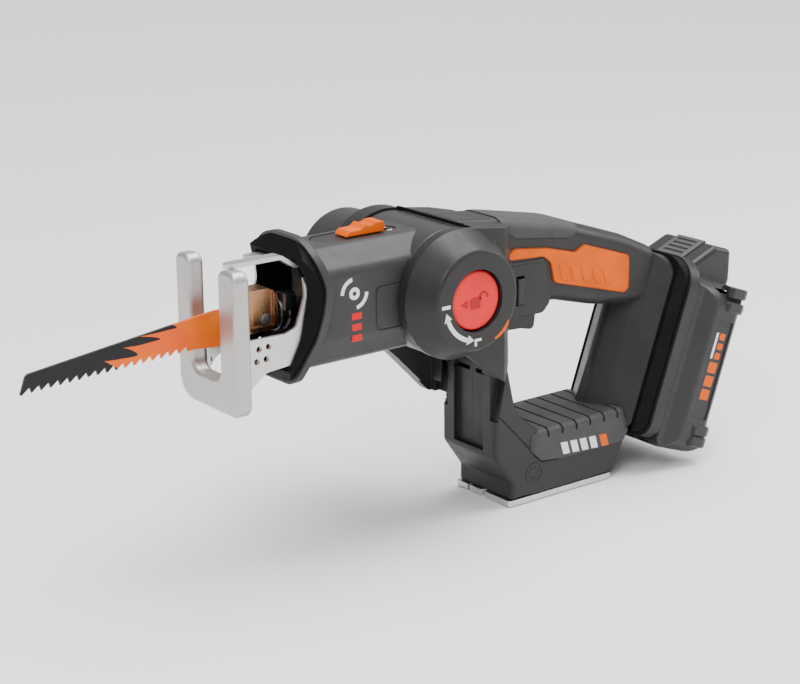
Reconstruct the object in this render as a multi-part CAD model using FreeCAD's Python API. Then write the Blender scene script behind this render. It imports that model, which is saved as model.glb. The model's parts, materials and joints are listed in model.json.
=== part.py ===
"""Cordless reciprocating saw whose head swings 90 degrees on the handle.

Millimetres, +X forwards (blade), +Y to the user's left, +Z up.  Everything is drawn about the pivot
axis of the head, and save() then moves it so that the origin is the middle of the base plate's underside.
"""

import math
import os

import FreeCAD
import Part

V = FreeCAD.Vector

# ---- driving dimensions -------------------------------------------------------------------------
PIVOT_HEIGHT = 130.0  # pivot axis above the underside of the base plate
PIVOT_FORWARD = 82.5  # pivot axis forward of the middle of the base plate
PLATE_LENGTH = 77.0
PLATE_WIDTH = 46.0
PLATE_THICK = 3.5
PLATE_FRONT = -44.0  # front edge of the base plate

DRUM_R = 33.5  # round rear end of the head
DRUM_HALF = 27.0
CHEEK_IN = 27.5  # inner faces of the two handle cheeks
CHEEK_R = 34.0
CHEEK_FACE_R = 26.0
CHEEK_LEFT_FACE = 49.0
CHEEK_RIGHT_FACE = -41.0
MOTOR_HOUSING_R = 28.0
MOTOR_HOUSING_END = -72.0
WALL = 2.5

NOSE_RIM = 3.2  # depth of the seat of the rubber face of the nose
NOSE_LIP = 5.0  # how far that face comes forward from its rim to the mouth
BARREL_TOP = 32.0
BARREL_BOTTOM = -28.0
BARREL_HALF = 27.0
SHOE_FACE = 130.0
SHOE_THICK = 9.0
SHOE_BOTTOM = -42.0
SHOE_TOP = 32.0
LEFT_ARM_TOP = 30.5  # the left arm is lower, under the prong of the bracket

STROKE = 19.0
MODULE = 1.0
PINION_TEETH = 12
GEAR_TEETH = 48
GEAR_CENTRE = 0.5 * MODULE * (PINION_TEETH + GEAR_TEETH) + 0.1
PRESSURE_ANGLE = math.radians(20.0)

GRIP_HALF = 17.0
COLUMN_HALF = 23.0
COLUMN_FRONT = -34.0
RECESS_DEPTH = 3.0
BUTTON_R = 15.6
BUTTON_TRAVEL = 4.0

TILT = 20.0  # the battery leans back by this much
TILT_X = -150.0  # front of the battery mount, where the tilted frame has its origin
TILT_Z = -20.0
MOUNT_REAR = -25.0  # rear face of the battery mount, in the tilted frame
PACK_REAR = -63.0
PACK_BOTTOM = -91.0
PACK_TOP = 9.0
PACK_HALF = 37.0


# ---- drawing helpers ----------------------------------------------------------------------------
def rounded_wire(corners, plane):
    """Closed wire through (a, b, radius) corners; plane turns (a, b) into a point."""
    count = len(corners)
    points = [V(c[0], c[1], 0) for c in corners]
    ends = []
    for i, corner in enumerate(corners):
        to_prev = (points[i - 1] - points[i]).normalize()
        to_next = (points[(i + 1) % count] - points[i]).normalize()
        radius = corner[2] if len(corner) > 2 else 0.0
        if radius <= 0:
            ends.append((points[i], points[i], points[i]))
            continue
        half = 0.5 * to_prev.getAngle(to_next)
        back = radius / math.tan(half)
        middle = points[i] + (to_prev + to_next).normalize() * (radius / math.sin(half) - radius)
        ends.append((points[i] + to_prev * back, middle, points[i] + to_next * back))
    edges = []
    for i, (start, middle, end) in enumerate(ends):
        if (end - start).Length > 1e-6:
            arc = Part.Arc(plane(start), plane(middle), plane(end))
            edges.append(arc.toShape())
        following = ends[(i + 1) % count][0]
        if (following - end).Length > 1e-6:
            edges.append(Part.LineSegment(plane(end), plane(following)).toShape())
    return Part.Wire(edges)


def side_slab(corners, y0, y1):
    """Outline in the side view (x, z), carried from y0 to y1."""
    wire = rounded_wire(corners, lambda p: V(p.x, y0, p.y))
    return Part.Face(wire).extrude(V(0, y1 - y0, 0))


def both_sides(corners, y0, y1):
    """The same side-view slab on the left and on the right."""
    return [side_slab(corners, y0, y1), side_slab(corners, -y1, -y0)]


def front_slab(corners, x0, x1):
    """Outline in the front view (y, z), carried from x0 to x1."""
    wire = rounded_wire(corners, lambda p: V(x0, p.x, p.y))
    return Part.Face(wire).extrude(V(x1 - x0, 0, 0))


def rounded_front(half, top, bottom, radii, x0, x1):
    """Upright rectangle facing forwards, with one corner radius at the top and one at the bottom."""
    upper, lower = radii
    corners = [(-half, top, upper), (half, top, upper), (half, bottom, lower), (-half, bottom, lower)]
    return front_slab(corners, x0, x1)


def plan_slab(corners, z0, z1):
    """Outline in the plan view (x, y), carried from z0 to z1."""
    wire = rounded_wire(corners, lambda p: V(p.x, p.y, z0))
    return Part.Face(wire).extrude(V(0, 0, z1 - z0))


def block(x0, x1, y0, y1, z0, z1):
    return Part.makeBox(x1 - x0, y1 - y0, z1 - z0, V(x0, y0, z0))


def disc(radius, y0, y1, x=0.0, z=0.0):
    """Cylinder across the saw."""
    return Part.makeCylinder(radius, y1 - y0, V(x, y0, z), V(0, 1, 0))


def ring(outer, inner, y0, y1, x=0.0, z=0.0):
    return disc(outer, y0, y1, x, z).cut(disc(inner, y0 - 1, y1 + 1, x, z))


def rod(radius, x0, x1, y=0.0, z=0.0):
    """Cylinder along the saw."""
    return Part.makeCylinder(radius, x1 - x0, V(x0, y, z), V(1, 0, 0))


def post(radius, z0, z1, x=0.0, y=0.0):
    """Upright cylinder."""
    return Part.makeCylinder(radius, z1 - z0, V(x, y, z0), V(0, 0, 1))


def fuse(*shapes):
    first, rest = shapes[0], list(shapes[1:])
    return first.fuse(rest).removeSplitter() if rest else first


def group(*shapes):
    return Part.makeCompound(list(shapes))


def soften(shape, radius, chosen):
    """Fillets the edges that chosen(box) picks, from each edge's bounding box."""
    edges = [e for e in shape.Edges if chosen(e.BoundBox)]
    return shape.makeFillet(radius, edges)


def rims(shape, radius, low, high, axis="Y"):
    """Fillets the two end outlines of a slab."""

    def at_an_end(box):
        first, last = getattr(box, axis + "Min"), getattr(box, axis + "Max")
        return last - first < 1e-4 and min(abs(first - low), abs(first - high)) < 1e-4

    return soften(shape, radius, at_an_end)


def tilted(shape):
    """From the battery's own frame (x forwards, z up its rail) to the saw's frame."""
    moved = shape.copy()
    moved.rotate(V(0, 0, 0), V(0, 1, 0), -TILT)
    moved.translate(V(TILT_X, 0, TILT_Z))
    return moved


def left_of_seam(shape):
    return shape.common(block(-300, 300, 0, 100, -200, 100))


def right_of_seam(shape):
    return shape.common(block(-300, 300, -100, 0, -200, 100))


def screw(radius, head_radius, length, head=2.6):
    """Pan-head screw with a cross recess, head on +Z, its seat at z = 0."""
    shank = Part.makeCylinder(radius, length, V(0, 0, -length))
    cap = Part.makeCylinder(head_radius, head)
    cap = soften(cap, head * 0.45, lambda b: b.ZMin > head - 1e-4)
    slot = head_radius * 1.1
    cross = group(
        block(-slot / 2, slot / 2, -0.45, 0.45, head - 1.2, head + 1),
        block(-0.45, 0.45, -slot / 2, slot / 2, head - 1.2, head + 1),
    )
    return fuse(cap, shank).cut(cross)


def aimed(shape, position, direction):
    """Turns a shape's +Z onto direction and puts its origin at position."""
    moved = shape.copy()
    moved.Placement = FreeCAD.Placement(V(*position), FreeCAD.Rotation(V(0, 0, 1), V(*direction)))
    return moved


def save(name, shape):
    moved = shape.copy()
    moved.translate(V(PIVOT_FORWARD, 0, PIVOT_HEIGHT))
    moved.exportStep(os.path.join("parts", name + ".step"))


# ---- handle -------------------------------------------------------------------------------------
HAND_LOOP = [
    (-41.5, -27, 2),
    (-43.5, -52, 12),
    (-49, -76, 14),
    (-66, -91, 14),
    (-116, -91, 4),
    (-132, -33.9, 4),
    (-112, -29.5, 20),
    (-84, -23, 5),
    (-79, -27, 2),
]


def grip_outline(inset=0.0):
    return [
        (-8, 33.5 - inset, 10),
        (-48, 29.5 - inset, 60),
        (-92, 21 - inset, 90),
        (-133, 7.5 - inset, 60),
        (-158, -4 - inset, 10),
        (-160, -36 + inset, 10),
        (-112, -29.5 + inset, 60),
        (-84, -22 + inset, 6),
        (-30, -18 + inset, 6),
        (-4, -4, 4),
    ]


def column_outline():
    """Front column of the handle, with a sloping chin that the folded shoe clears."""
    return [
        (COLUMN_FRONT, -24, 0),
        (COLUMN_FRONT, -100, 6),
        (PLATE_FRONT - 2, -117, 4),
        (PLATE_FRONT - 2, -126.4, 1),
        (-86, -126.4, 1),
        (-86, -91, 2),
        (-66, -91, 14),
        (-49, -76, 14),
        (-43.5, -52, 12),
        (-41.5, -14, 0),
    ]


def block_outline(grow=0.0):
    """Lower block over the rear of the base plate."""
    return [
        (-58, -91 + grow, 2),
        (-128, -91 + grow, 3),
        (-133 - grow, -100, 3),
        (-121 - grow, -126.4 - grow, 2),
        (-58, -126.4 - grow, 1),
    ]


NECK_HALF = 26.5
FLANGE_HALF = 34.0


def mount_body():
    """Housing in front of the battery, drawn in the tilted frame: a ridged post that flares to a flange."""
    top, bottom = 17.0, -87.0
    flare = [(11, 0, 7), (2, 14, 12), (-11, NECK_HALF, 5), (-20, NECK_HALF, 0)]
    flare += [(-20, -NECK_HALF, 0), (-11, -NECK_HALF, 5), (2, -14, 12)]
    neck = rounded_front(NECK_HALF, top - 2, bottom + 2, (14, 8), -20, 12)
    flange = rounded_front(FLANGE_HALF, top, bottom, (17, 9), MOUNT_REAR, -17.0)
    return fuse(plan_slab(flare, bottom, top).common(neck), flange)


def left_cheek():
    """Round cheek with the release button: a disc and a cone."""
    base = disc(CHEEK_R, CHEEK_IN, 33)
    cone = Part.makeCone(CHEEK_R, CHEEK_FACE_R, CHEEK_LEFT_FACE - 33, V(0, 33, 0), V(0, 1, 0))
    whole = fuse(base, cone)
    return soften(whole, 2.5, lambda b: b.YMin > CHEEK_LEFT_FACE - 1e-3)


def right_cheek():
    base = disc(CHEEK_R + 0.5, CHEEK_RIGHT_FACE, -CHEEK_IN)
    return soften(base, 4.0, lambda b: b.YMax < CHEEK_RIGHT_FACE + 1e-3)


def cheek_web(side):
    """Joins a cheek to the grip and the column behind the drum; its side slopes in towards the grip."""
    y0, y1 = sorted((side * 15, side * 32))
    outline = [
        (-6, 33.4, 6), (-44, 28, 6), (-58, 4, 6), (-46, -44, 6), (-36, -56, 4), (-12, -38, 3),
        (-2, -31, 0),
    ]
    slope = [
        (10, side * 14), (10, side * 33), (-31, side * 33), (-49, side * 17), (-60, side * 17),
        (-60, side * 14),
    ]
    return side_slab(outline, y0, y1).common(plan_slab(slope, -60, 40))


def right_skirt():
    """Wedge under the right cheek, running back into the column."""
    return side_slab(
        [(8, -28, 2), (8, -36, 3), (-6, -48, 6), (-31.5, -74, 4), (-42, -74, 4), (-42, -28, 4)],
        -38,
        -20,
    )


def drum_space():
    """Room for the drum, and for the barrel and its nose as the head swings down."""
    drum = disc(DRUM_R + 0.6, -CHEEK_IN, CHEEK_IN)
    swing = side_slab([
        (0, 60), (60, 60), (60, -60), (-29.6, -60), (-29.6, 0), (-12, 36),
    ], -CHEEK_IN, CHEEK_IN)
    barrel = block(-30.8, 60, -28.3, 28.3, -76, -20)
    nose = block(COLUMN_FRONT + 0.3, 60, -31.8, 31.8, -100, -66)
    return drum.fuse([swing, barrel, nose])


def trigger_boss():
    half = GRIP_HALF + 1.2
    return side_slab([
        (-42, 6, 4), (-73, 5, 4), (-77, -16, 4), (-77, -21, 5), (-72, -26, 3), (-42, -26, 0),
    ], -half, half)


def handle_outer():
    grip = rims(side_slab(grip_outline(), -GRIP_HALF, GRIP_HALF), 7.0, -GRIP_HALF, GRIP_HALF)
    column = rims(side_slab(column_outline(), -COLUMN_HALF, COLUMN_HALF), 2.5, -COLUMN_HALF, COLUMN_HALF)
    base = rims(side_slab(block_outline(), -COLUMN_HALF, COLUMN_HALF), 1.5, -COLUMN_HALF, COLUMN_HALF)
    mount = tilted(mount_body())
    hub_left = fuse(left_cheek(), cheek_web(1))
    hub_right = fuse(right_cheek(), cheek_web(-1), right_skirt())
    boss = rims(trigger_boss(), 2.5, -GRIP_HALF - 1.2, GRIP_HALF + 1.2)
    return fuse(grip, column, base, mount, hub_left, hub_right, boss)


def handle_cavity():
    inner_half = COLUMN_HALF - WALL
    grip = side_slab(
        [
            (-40, 24, 4), (-92, 17, 40), (-133, 4, 20), (-152, -4, 6), (-152, -28, 4),
            (-112, -25, 20), (-46, -14, 4),
        ],
        -GRIP_HALF + WALL,
        GRIP_HALF - WALL,
    )
    boss = side_slab([(-46, 3, 2), (-74, 3, 2), (-74, -27, 2), (-46, -27, 2)], -12, 12)
    column = side_slab(
        [(-41.5, -94), (-56, -94), (-62, -97), (-62, -122), (-49, -122), (-49, -116), (-41.5, -105)],
        -inner_half,
        inner_half,
    )
    base = side_slab([
        (-58, -96), (-122, -96), (-128, -101), (-118, -122), (-58, -122),
    ], -inner_half, inner_half)
    mount = tilted(block(-21, -2, -13, 13, -80, 8).fuse(block(-21.5, -12, -22, 22, -76, 4)))
    return grip.fuse([boss, column, base, mount])


def vent_slots():
    """Three cooling slots each side of the seam, under the drum."""
    slots = []
    for row in range(3):
        z = -43.5 - 5.6 * row
        for y0, y1 in ((2.5, 13.0), (-13.0, -2.5)):
            slots.append(block(COLUMN_FRONT - 7, COLUMN_FRONT + 2, y0, y1, z - 1.1, z + 1.1))
    return group(*slots)


def column_recess():
    """Shallow panel down the front of the column, ending on a ledge above the chin."""
    return block(COLUMN_FRONT - RECESS_DEPTH, COLUMN_FRONT + 3, -12.5, 12.5, -97.5, -36)


def side_grooves():
    """Parting groove of the lower rubber, cut into the sides of the column."""
    line = [(-33, -73.2), (-66, -108.2), (-79, -109.6), (-79, -108.6), (-66.4, -107.2), (-33, -72.2)]
    return both_sides(line, COLUMN_HALF - 0.7, COLUMN_HALF + 1)


def side_wedges():
    """Undercut behind each front corner of the column."""
    front = COLUMN_FRONT
    outline = [(front + 2, -50), (front - 2, -50), (front - 6.5, -57), (front - 2, -79), (front + 2, -79)]
    return both_sides(outline, COLUMN_HALF - 5, COLUMN_HALF + 6)


SCREW_SPOTS = [(-47, 15), (-126, -12), (-44.5, -84), (-118, -112), (-52, -118)]


def screw_wells():
    """Head pockets on the right side and through holes into the left shell."""
    wells = []
    for x, z in SCREW_SPOTS:
        wells.append(disc(3.6, -60, -8.0, x, z))
        wells.append(disc(1.7, -9.0, 6.0, x, z))
    return wells


def screw_pillars():
    return [disc(5.0, -21.5, 9.0, x, z) for x, z in SCREW_SPOTS]


def handle_shells():
    outer = handle_outer()
    pillars = [p.common(outer) for p in screw_pillars()]
    body = outer.cut(handle_cavity()).fuse(pillars)
    button_bore = disc(BUTTON_R + 0.7, 36, 60).fuse(disc(7.6, 33, 37)).fuse(disc(11.5, 20, 34))
    left_run = ring(26.5, 21.7, CHEEK_IN - 1, 31.5)
    right_hole = disc(30.0, CHEEK_RIGHT_FACE - 1, -CHEEK_IN + 1)
    hand_hole = side_slab(HAND_LOOP, -60, 60)
    plate_space = block(-140, -30, -60, 60, -140, -126.5)
    tools = [drum_space(), button_bore, left_run, right_hole, hand_hole, plate_space]
    tools += [vent_slots(), column_recess()]
    tools += side_grooves() + side_wedges() + screw_wells() + [insert_pocket(side) for side in (1, -1)]
    tools += [overmould_pocket(), rib_pad(), accent_pocket(), band_pocket(), plate_screw_holes()]
    tools += [trigger_window(), lock_off_window(), terminal_window()]
    body = body.cut(tools)
    return biggest(left_of_seam(body)), biggest(right_of_seam(body))


def biggest(shape):
    return max(shape.Solids, key=lambda s: s.Volume)


# ---- soft and coloured trim on the handle -------------------------------------------------------
OVERMOULD_TOP = [(-34, 60, 0), (-44, 24.5, 3), (-52, 18.2, 4), (-92, 12.6, 6), (-97.5, 17, 6), (-92, 60, 0)]
INSERT_OUTLINE = [
    (-45, 9.5, 1),
    (-51, 13, 4),
    (-74, 10, 10),
    (-94, 4.6, 3),
    (-101, 7.8, 4),
    (-134.5, -3.4, 4),
    (-134.5, -25.6, 4),
    (-79, -10.2, 4),
    (-76.2, 1.8, 5),
    (-71, 5.6, 5),
    (-47.5, 7, 1),
]


def grip_core():
    """The grip less the thickness of its rubber."""
    half = GRIP_HALF - 1.4
    return rims(side_slab(grip_outline(1.4), -half, half), 6.0, -half, half)


def overmould_pocket():
    return side_slab(OVERMOULD_TOP, -40, 40).cut(grip_core())


def grip_overmould():
    """Rubber over the top of the grip, 0.4 mm proud of the shells."""
    half = GRIP_HALF + 0.3
    skin = rims(side_slab(grip_outline(-0.4), -half, half), 7.0, -half, half)
    return biggest(skin.cut(grip_core()).common(side_slab(OVERMOULD_TOP, -40, 40)))


def insert_pocket(side):
    y0, y1 = sorted((side * (GRIP_HALF - 2.0), side * (GRIP_HALF + 8)))
    return side_slab(INSERT_OUTLINE, y0, y1)


def grip_inserts():
    """Orange side panels of the grip, standing a little proud."""
    panels = []
    for side in (1, -1):
        y0, y1 = sorted((side * (GRIP_HALF - 2.0), side * (GRIP_HALF + 0.9)))
        panels.append(biggest(side_slab(INSERT_OUTLINE, y0, y1).cut(trigger_boss())))
    return group(*panels)


PAD_PROUD = 1.4
RIB_COUNT = 6
RIB_PITCH = 10.3
RIB_FIRST = -70.5


def rib_pad():
    """Ribbed rubber saddle over the lower block, sunk 1.2 mm into its sides and 2 mm into its top."""
    top = -91 + PAD_PROUD
    half = COLUMN_HALF + PAD_PROUD
    outline = [
        (-64, top, 3), (-127, top, 3), (-134, -106, 3), (-121, -126, 2), (-58, -126, 2),
        (-58, top - 3, 2),
    ]
    region = [
        (-57.5, -80), (-57.5, -99.4), (-66, -107.2, 3), (-82, -109, 3), (-126.5, -108.8),
        (-140, -90), (-140, -80),
    ]
    outer = rims(side_slab(outline, -half, half), 3.5, -half, half)
    inner = block(-140, -50, -COLUMN_HALF + 1.2, COLUMN_HALF - 1.2, -140, -93)
    pad = outer.common(side_slab(region, -40, 40)).cut([inner, tilted(mount_body())])
    lower_block = side_slab(block_outline(), -COLUMN_HALF, COLUMN_HALF)
    grooves = []
    for number in range(RIB_COUNT):
        x = RIB_FIRST - RIB_PITCH * number
        groove = block(x - 0.7, x + 0.7, -19, 19, -91, -85)
        for side in (1, -1):
            y0, y1 = sorted((side * 18.0, side * 30.0))
            groove = groove.fuse(block(x - 0.7, x + 0.7, y0, y1, -94.5, -85))
        grooves.append(groove.cut(lower_block))
    column = side_slab(column_outline(), -COLUMN_HALF - 3, COLUMN_HALF + 3)
    return biggest(pad.cut(grooves + [column.common(block(-57.5, -30, -50, 50, -130, -60))]))


def accent_arc(depth):
    """Thin curved stripe beside the left cheek, from y = 30.6 outwards."""
    arc = ring(34.6, 32.2, 30.6, 30.6 + depth)
    return arc.common(side_slab([(0, 0), (-34, -20), (-31, -34)], 19, 60))


def accent_pocket():
    return accent_arc(6.0)


def pivot_accent():
    return accent_arc(2.2)


BAND_FRONT = -10.0


def band_outer(half):
    """Solid outline of the rubber band, chamfered towards the front."""
    band = rounded_front(half, 16, -85, (14, 8), -16.8, BAND_FRONT)
    taper = [
        (-16.8, half), (-14.5, half), (BAND_FRONT, half - 4), (BAND_FRONT, 4 - half), (-14.5, -half),
        (-16.8, -half),
    ]
    return band.common(plan_slab(taper, -90, 20))


def band_inner():
    return rounded_front(NECK_HALF - 1.5, 13, -83, (13, 7), -18, BAND_FRONT + 1.5)


def band_pocket():
    return tilted(rounded_front(33, 17, -86, (14, 8), -16.8, BAND_FRONT).cut(band_inner()))


def mount_band():
    """Rubber band round the neck of the battery mount."""
    grip = side_slab(grip_outline(), -GRIP_HALF - 4, GRIP_HALF + 4)
    lower = side_slab(block_outline(2.0), -COLUMN_HALF - 3, COLUMN_HALF + 3)
    return biggest(tilted(band_outer(32.2).cut(band_inner())).cut([grip, lower]))


# ---- windows in the shells ----------------------------------------------------------------------
def trigger_window():
    return block(-76.5, -47, -7.5, 7.5, -30, -12)


def lock_off_window():
    return block(-57.5, -52.0, -30, 30, -18.5, -2.5)


def terminal_window():
    """Opening for the terminal block in the rear of the mount."""
    return tilted(block(-30, -18, -16, 16, -30, 2))


def plate_screw_holes():
    return group(*[post(1.6, -130, -118, x, y) for x, y in PLATE_SCREWS])


# ---- base plate ---------------------------------------------------------------------------------
PLATE_REAR = PLATE_FRONT - PLATE_LENGTH
PLATE_SCREWS = [
    (PLATE_FRONT - 12, 17), (PLATE_FRONT - 12, -17), (PLATE_REAR + 10, 17), (PLATE_REAR + 10, -17),
]
PLATE_BOTTOM = -PIVOT_HEIGHT


def base_plate():
    half = PLATE_WIDTH / 2
    top = PLATE_BOTTOM + PLATE_THICK
    outline = [
        (PLATE_FRONT, -half, 2), (PLATE_REAR, -half, 4), (PLATE_REAR, half, 4),
        (PLATE_FRONT, half, 2),
    ]
    plate = plan_slab(outline, PLATE_BOTTOM, top)
    plate = soften(plate, 0.8, lambda b: b.ZMax < PLATE_BOTTOM + 1e-3)
    arrow = plan_slab([
        (PLATE_FRONT + 1, 3), (PLATE_FRONT - 4.5, 0), (PLATE_FRONT + 1, -3),
    ], PLATE_BOTTOM - 1, top + 1)
    notch = block(PLATE_FRONT - 2, PLATE_FRONT + 1, -12.6, -11.2, PLATE_BOTTOM - 1, top + 1)
    holes = [post(1.7, PLATE_BOTTOM - 1, top + 1, x, y) for x, y in PLATE_SCREWS]
    sinks = [Part.makeCone(3.6, 1.7, 2.0, V(x, y, PLATE_BOTTOM), V(0, 0, 1)) for x, y in PLATE_SCREWS]
    return plate.cut([arrow, notch] + holes + sinks)


def base_plate_screws():
    """Countersunk screws, heads just inside the underside."""
    screws = []
    for x, y in PLATE_SCREWS:
        head = Part.makeCone(3.3, 1.6, 1.8, V(x, y, PLATE_BOTTOM + 0.15), V(0, 0, 1))
        shank = post(1.55, PLATE_BOTTOM + 1, -119, x, y)
        cross = group(block(x - 2, x + 2, y - 0.4, y + 0.4, PLATE_BOTTOM - 1, PLATE_BOTTOM + 1),
                      block(x - 0.4, x + 0.4, y - 2, y + 2, PLATE_BOTTOM - 1, PLATE_BOTTOM + 1))
        screws.append(fuse(head, shank).cut(cross))
    return group(*screws)


# ---- head shells --------------------------------------------------------------------------------
def barrel_section(inset=0.0):
    half = BARREL_HALF - inset
    return [
        (13, BARREL_TOP - inset, 8),
        (half, 22, 7),
        (half, -13, 9),
        (17, BARREL_BOTTOM + inset, 9),
        (-17, BARREL_BOTTOM + inset, 9),
        (-half, -13, 9),
        (-half, 22, 7),
        (-13, BARREL_TOP - inset, 8),
    ]


def waist(depth, x_end):
    """Trims the sides of the barrel where it runs into the drum."""
    return [block(-40, x_end, depth, 40, -60, 60), block(-40, x_end, -40, -depth, -60, 60)]


def nose_outline(inset=0.0):
    """Rim of the head seen from the front; its underside clears the column when the head is folded."""
    half, low = 31 - inset, COLUMN_FRONT + 0.8 + inset
    return [
        (-half, 39 - inset, 25 - inset), (half, 39 - inset, 25 - inset), (half, 2, 14),
        (23.5 - inset, low, 11), (inset - 23.5, low, 11), (-half, 2, 14),
    ]


def nose_profile(forward):
    """Side view of everything behind the curved rim of the nose, which juts out at the bottom."""
    front = [(86.5, 50), (84.5, 33, 6), (80, 14, 20), (85, -10, 20), (94, -27, 8), (96, -45)]
    return [(-60, 50)] + [(corner[0] + forward,) + corner[1:] for corner in front] + [(-60, -45)]


def behind_nose(setback):
    return side_slab(nose_profile(-setback), -50, 50)


def head_outer():
    barrel = front_slab(barrel_section(), 8, 100).cut(waist(DRUM_HALF - 3, 23)).common(behind_nose(NOSE_RIM))
    drum = soften(disc(DRUM_R, -DRUM_HALF, DRUM_HALF), 2.0, lambda b: b.YMax - b.YMin < 1e-3)
    rim = front_slab(nose_outline(), 60, 100).common(behind_nose(0.8)).cut(behind_nose(NOSE_RIM + 1.8))
    return fuse(barrel, drum, rim)


def head_cavity():
    barrel = front_slab(barrel_section(WALL), 5, 102).cut(waist(DRUM_HALF - 3 - WALL, 26))
    return barrel.fuse(disc(DRUM_R - WALL, -DRUM_HALF + WALL, DRUM_HALF - WALL))


SLIDER_FRONT = 50.0
SLIDER_REAR = 25.0
SLIDER_TRAVEL = 8.0
BEZEL = [
    (66, -4, 3), (61, -9, 5), (30, -9.5, 8), (15.5, -3, 4), (15.5, 3, 4), (30, 9.5, 8), (61, 9, 5),
    (66, 4, 3),
]
HEAD_SCREW_SPOTS = [(54, 19), (64, -17), (-22, 14), (-22, -14)]


def slider_slot():
    rear = SLIDER_REAR - SLIDER_TRAVEL + 3
    return block(rear, SLIDER_FRONT - 3, -2.6, 2.6, BARREL_TOP - 8, BARREL_TOP + 4)


def panel_groove():
    """Thin outline of a panel, cut into both sides of the barrel."""
    outer = [(27, 11, 3), (47.5, 11, 3), (47.5, -12, 3), (27, -12, 3)]
    inner = [(27.8, 10.2, 3), (46.7, 10.2, 3), (46.7, -11.2, 3), (27.8, -11.2, 3)]
    groove = side_slab(outer, BARREL_HALF - 0.5, BARREL_HALF + 1).cut(
        side_slab(inner, BARREL_HALF - 0.6, BARREL_HALF + 1.1))
    return [groove, groove.mirror(V(0, 0, 0), V(0, 1, 0))]


def head_shells():
    outer = head_outer()
    half = DRUM_HALF - 0.5
    pillars = [disc(4.2, -half, half, x, z).common(outer) for x, z in HEAD_SCREW_SPOTS]
    bezel_floor = plan_slab(BEZEL, BARREL_TOP - 3, BARREL_TOP - 1.6)
    pivot_run = ring(24.5, 22.0, DRUM_HALF - 1.5, 31.0)
    wells = [disc(3.1, -40, -18, x, z).fuse(disc(1.6, -19, 8, x, z)) for x, z in HEAD_SCREW_SPOTS]
    bezel_seat = plan_slab(BEZEL, BARREL_TOP - 1.6, BARREL_TOP + 4)
    lock_hole = disc(20.5, DRUM_HALF - WALL - 1, DRUM_HALF + 1)
    motor_hole = disc(MOTOR_HOUSING_R - WALL, -DRUM_HALF - 1, -DRUM_HALF + WALL + 1)
    motor_seat = disc(MOTOR_HOUSING_R, -DRUM_HALF - 1, -DRUM_HALF + 1.2)
    body = outer.cut([head_cavity(), nose_mouth(), nose_seat()]).fuse(pillars + [bezel_floor])
    body = body.cut([bezel_seat, slider_slot(), lock_hole, motor_hole, motor_seat] + panel_groove() + wells)
    body = body.fuse(pivot_run)
    return biggest(left_of_seam(body)), biggest(right_of_seam(body))


def selector_bezel():
    """Dark oval plate let into the top of the barrel, slotted for the slider's stem."""
    outline = [(c[0] * 0.985 + 0.6, c[1] * 0.96, c[2]) for c in BEZEL]
    return plan_slab(outline, BARREL_TOP - 1.6, BARREL_TOP - 0.4).cut(slider_slot())


def orbit_slider():
    """Thumb slide with a raised rear grip, a low front ramp and a stem through the slot."""
    profile = [
        (SLIDER_REAR, BARREL_TOP, 1),
        (SLIDER_REAR, BARREL_TOP + 5.5, 2),
        (SLIDER_REAR + 12, BARREL_TOP + 5.5, 2),
        (SLIDER_REAR + 15, BARREL_TOP + 3.2, 2),
        (SLIDER_FRONT - 3, BARREL_TOP + 3.0, 2),
        (SLIDER_FRONT, BARREL_TOP, 0.5),
    ]
    body = rims(side_slab(profile, -5.2, 5.2), 0.6, -5.2, 5.2)
    stem = block(SLIDER_REAR + 9, SLIDER_FRONT - 6, -2.2, 2.2, BARREL_TOP - 6, BARREL_TOP + 1)
    scoop = disc(5.0, -8, 8, SLIDER_REAR + 9, BARREL_TOP + 9.2)
    return fuse(body, stem).cut(scoop)


def motor_housing():
    """Cup round the motor on the right of the drum, with cooling slots in its end."""
    end = MOTOR_HOUSING_END
    outer = soften(disc(MOTOR_HOUSING_R, end, -DRUM_HALF + 1.2), 6.0, lambda b: b.YMax < end + 1e-3)
    inner = disc(MOTOR_HOUSING_R - WALL, end + WALL, -DRUM_HALF + 3)
    slots = []
    for row in range(5):
        z = -14 + 7 * row
        width = math.sqrt(19.0 ** 2 - z * z)
        slots.append(block(-width, width, end - 1, end + WALL + 1, z - 1.3, z + 1.3))
    return outer.cut([inner] + slots)


def nose_seat():
    return front_slab(nose_outline(1.6), 60, 100).cut(behind_nose(NOSE_RIM))


def nose_mouth():
    """Opening in the front of the head, just clear of the shoe's bracket."""
    half, top, low = BRACKET_HALF + 0.7, BRACKET_TOP + 1.4, BARREL_BOTTOM + WALL
    opening = [
        (-18.5, top, 4), (18.5, top, 4), (half, 19.4, 5), (half, low + 4, 2), (15, low, 4),
        (-15, low, 4), (-half, low + 4, 2), (-half, 19.4, 5),
    ]
    return front_slab(opening, 55, 110).cut(behind_nose(NOSE_RIM + 3))


def nose_dome():
    """Everything behind the rubber face, which slopes forward from its rim to the mouth all round."""
    half, rim = BRACKET_HALF + 0.7, 31.0
    middle = side_slab(nose_profile(NOSE_LIP), -half, half)
    start = rounded_wire(nose_profile(0), lambda p: V(p.x, rim, p.y))
    flank = Part.Face(start).extrude(V(NOSE_LIP, half - rim, 0))
    slopes = side_slab([
        (-60, 50), (80, 50), (84.3, 37.4), (88.6, 30), (110, 26), (110, -12), (98, -24.5, 3),
        (94.2, -31), (90, -45), (-60, -45),
    ], -50, 50)
    return fuse(middle, flank, flank.mirror(V(0, 0, 0), V(0, 1, 0))).common(slopes)


def nose_ring():
    """Rubber face round the mouth of the barrel, set in a thin rim of the shells."""
    return biggest(nose_seat().common(nose_dome()).cut(nose_mouth()))


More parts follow.
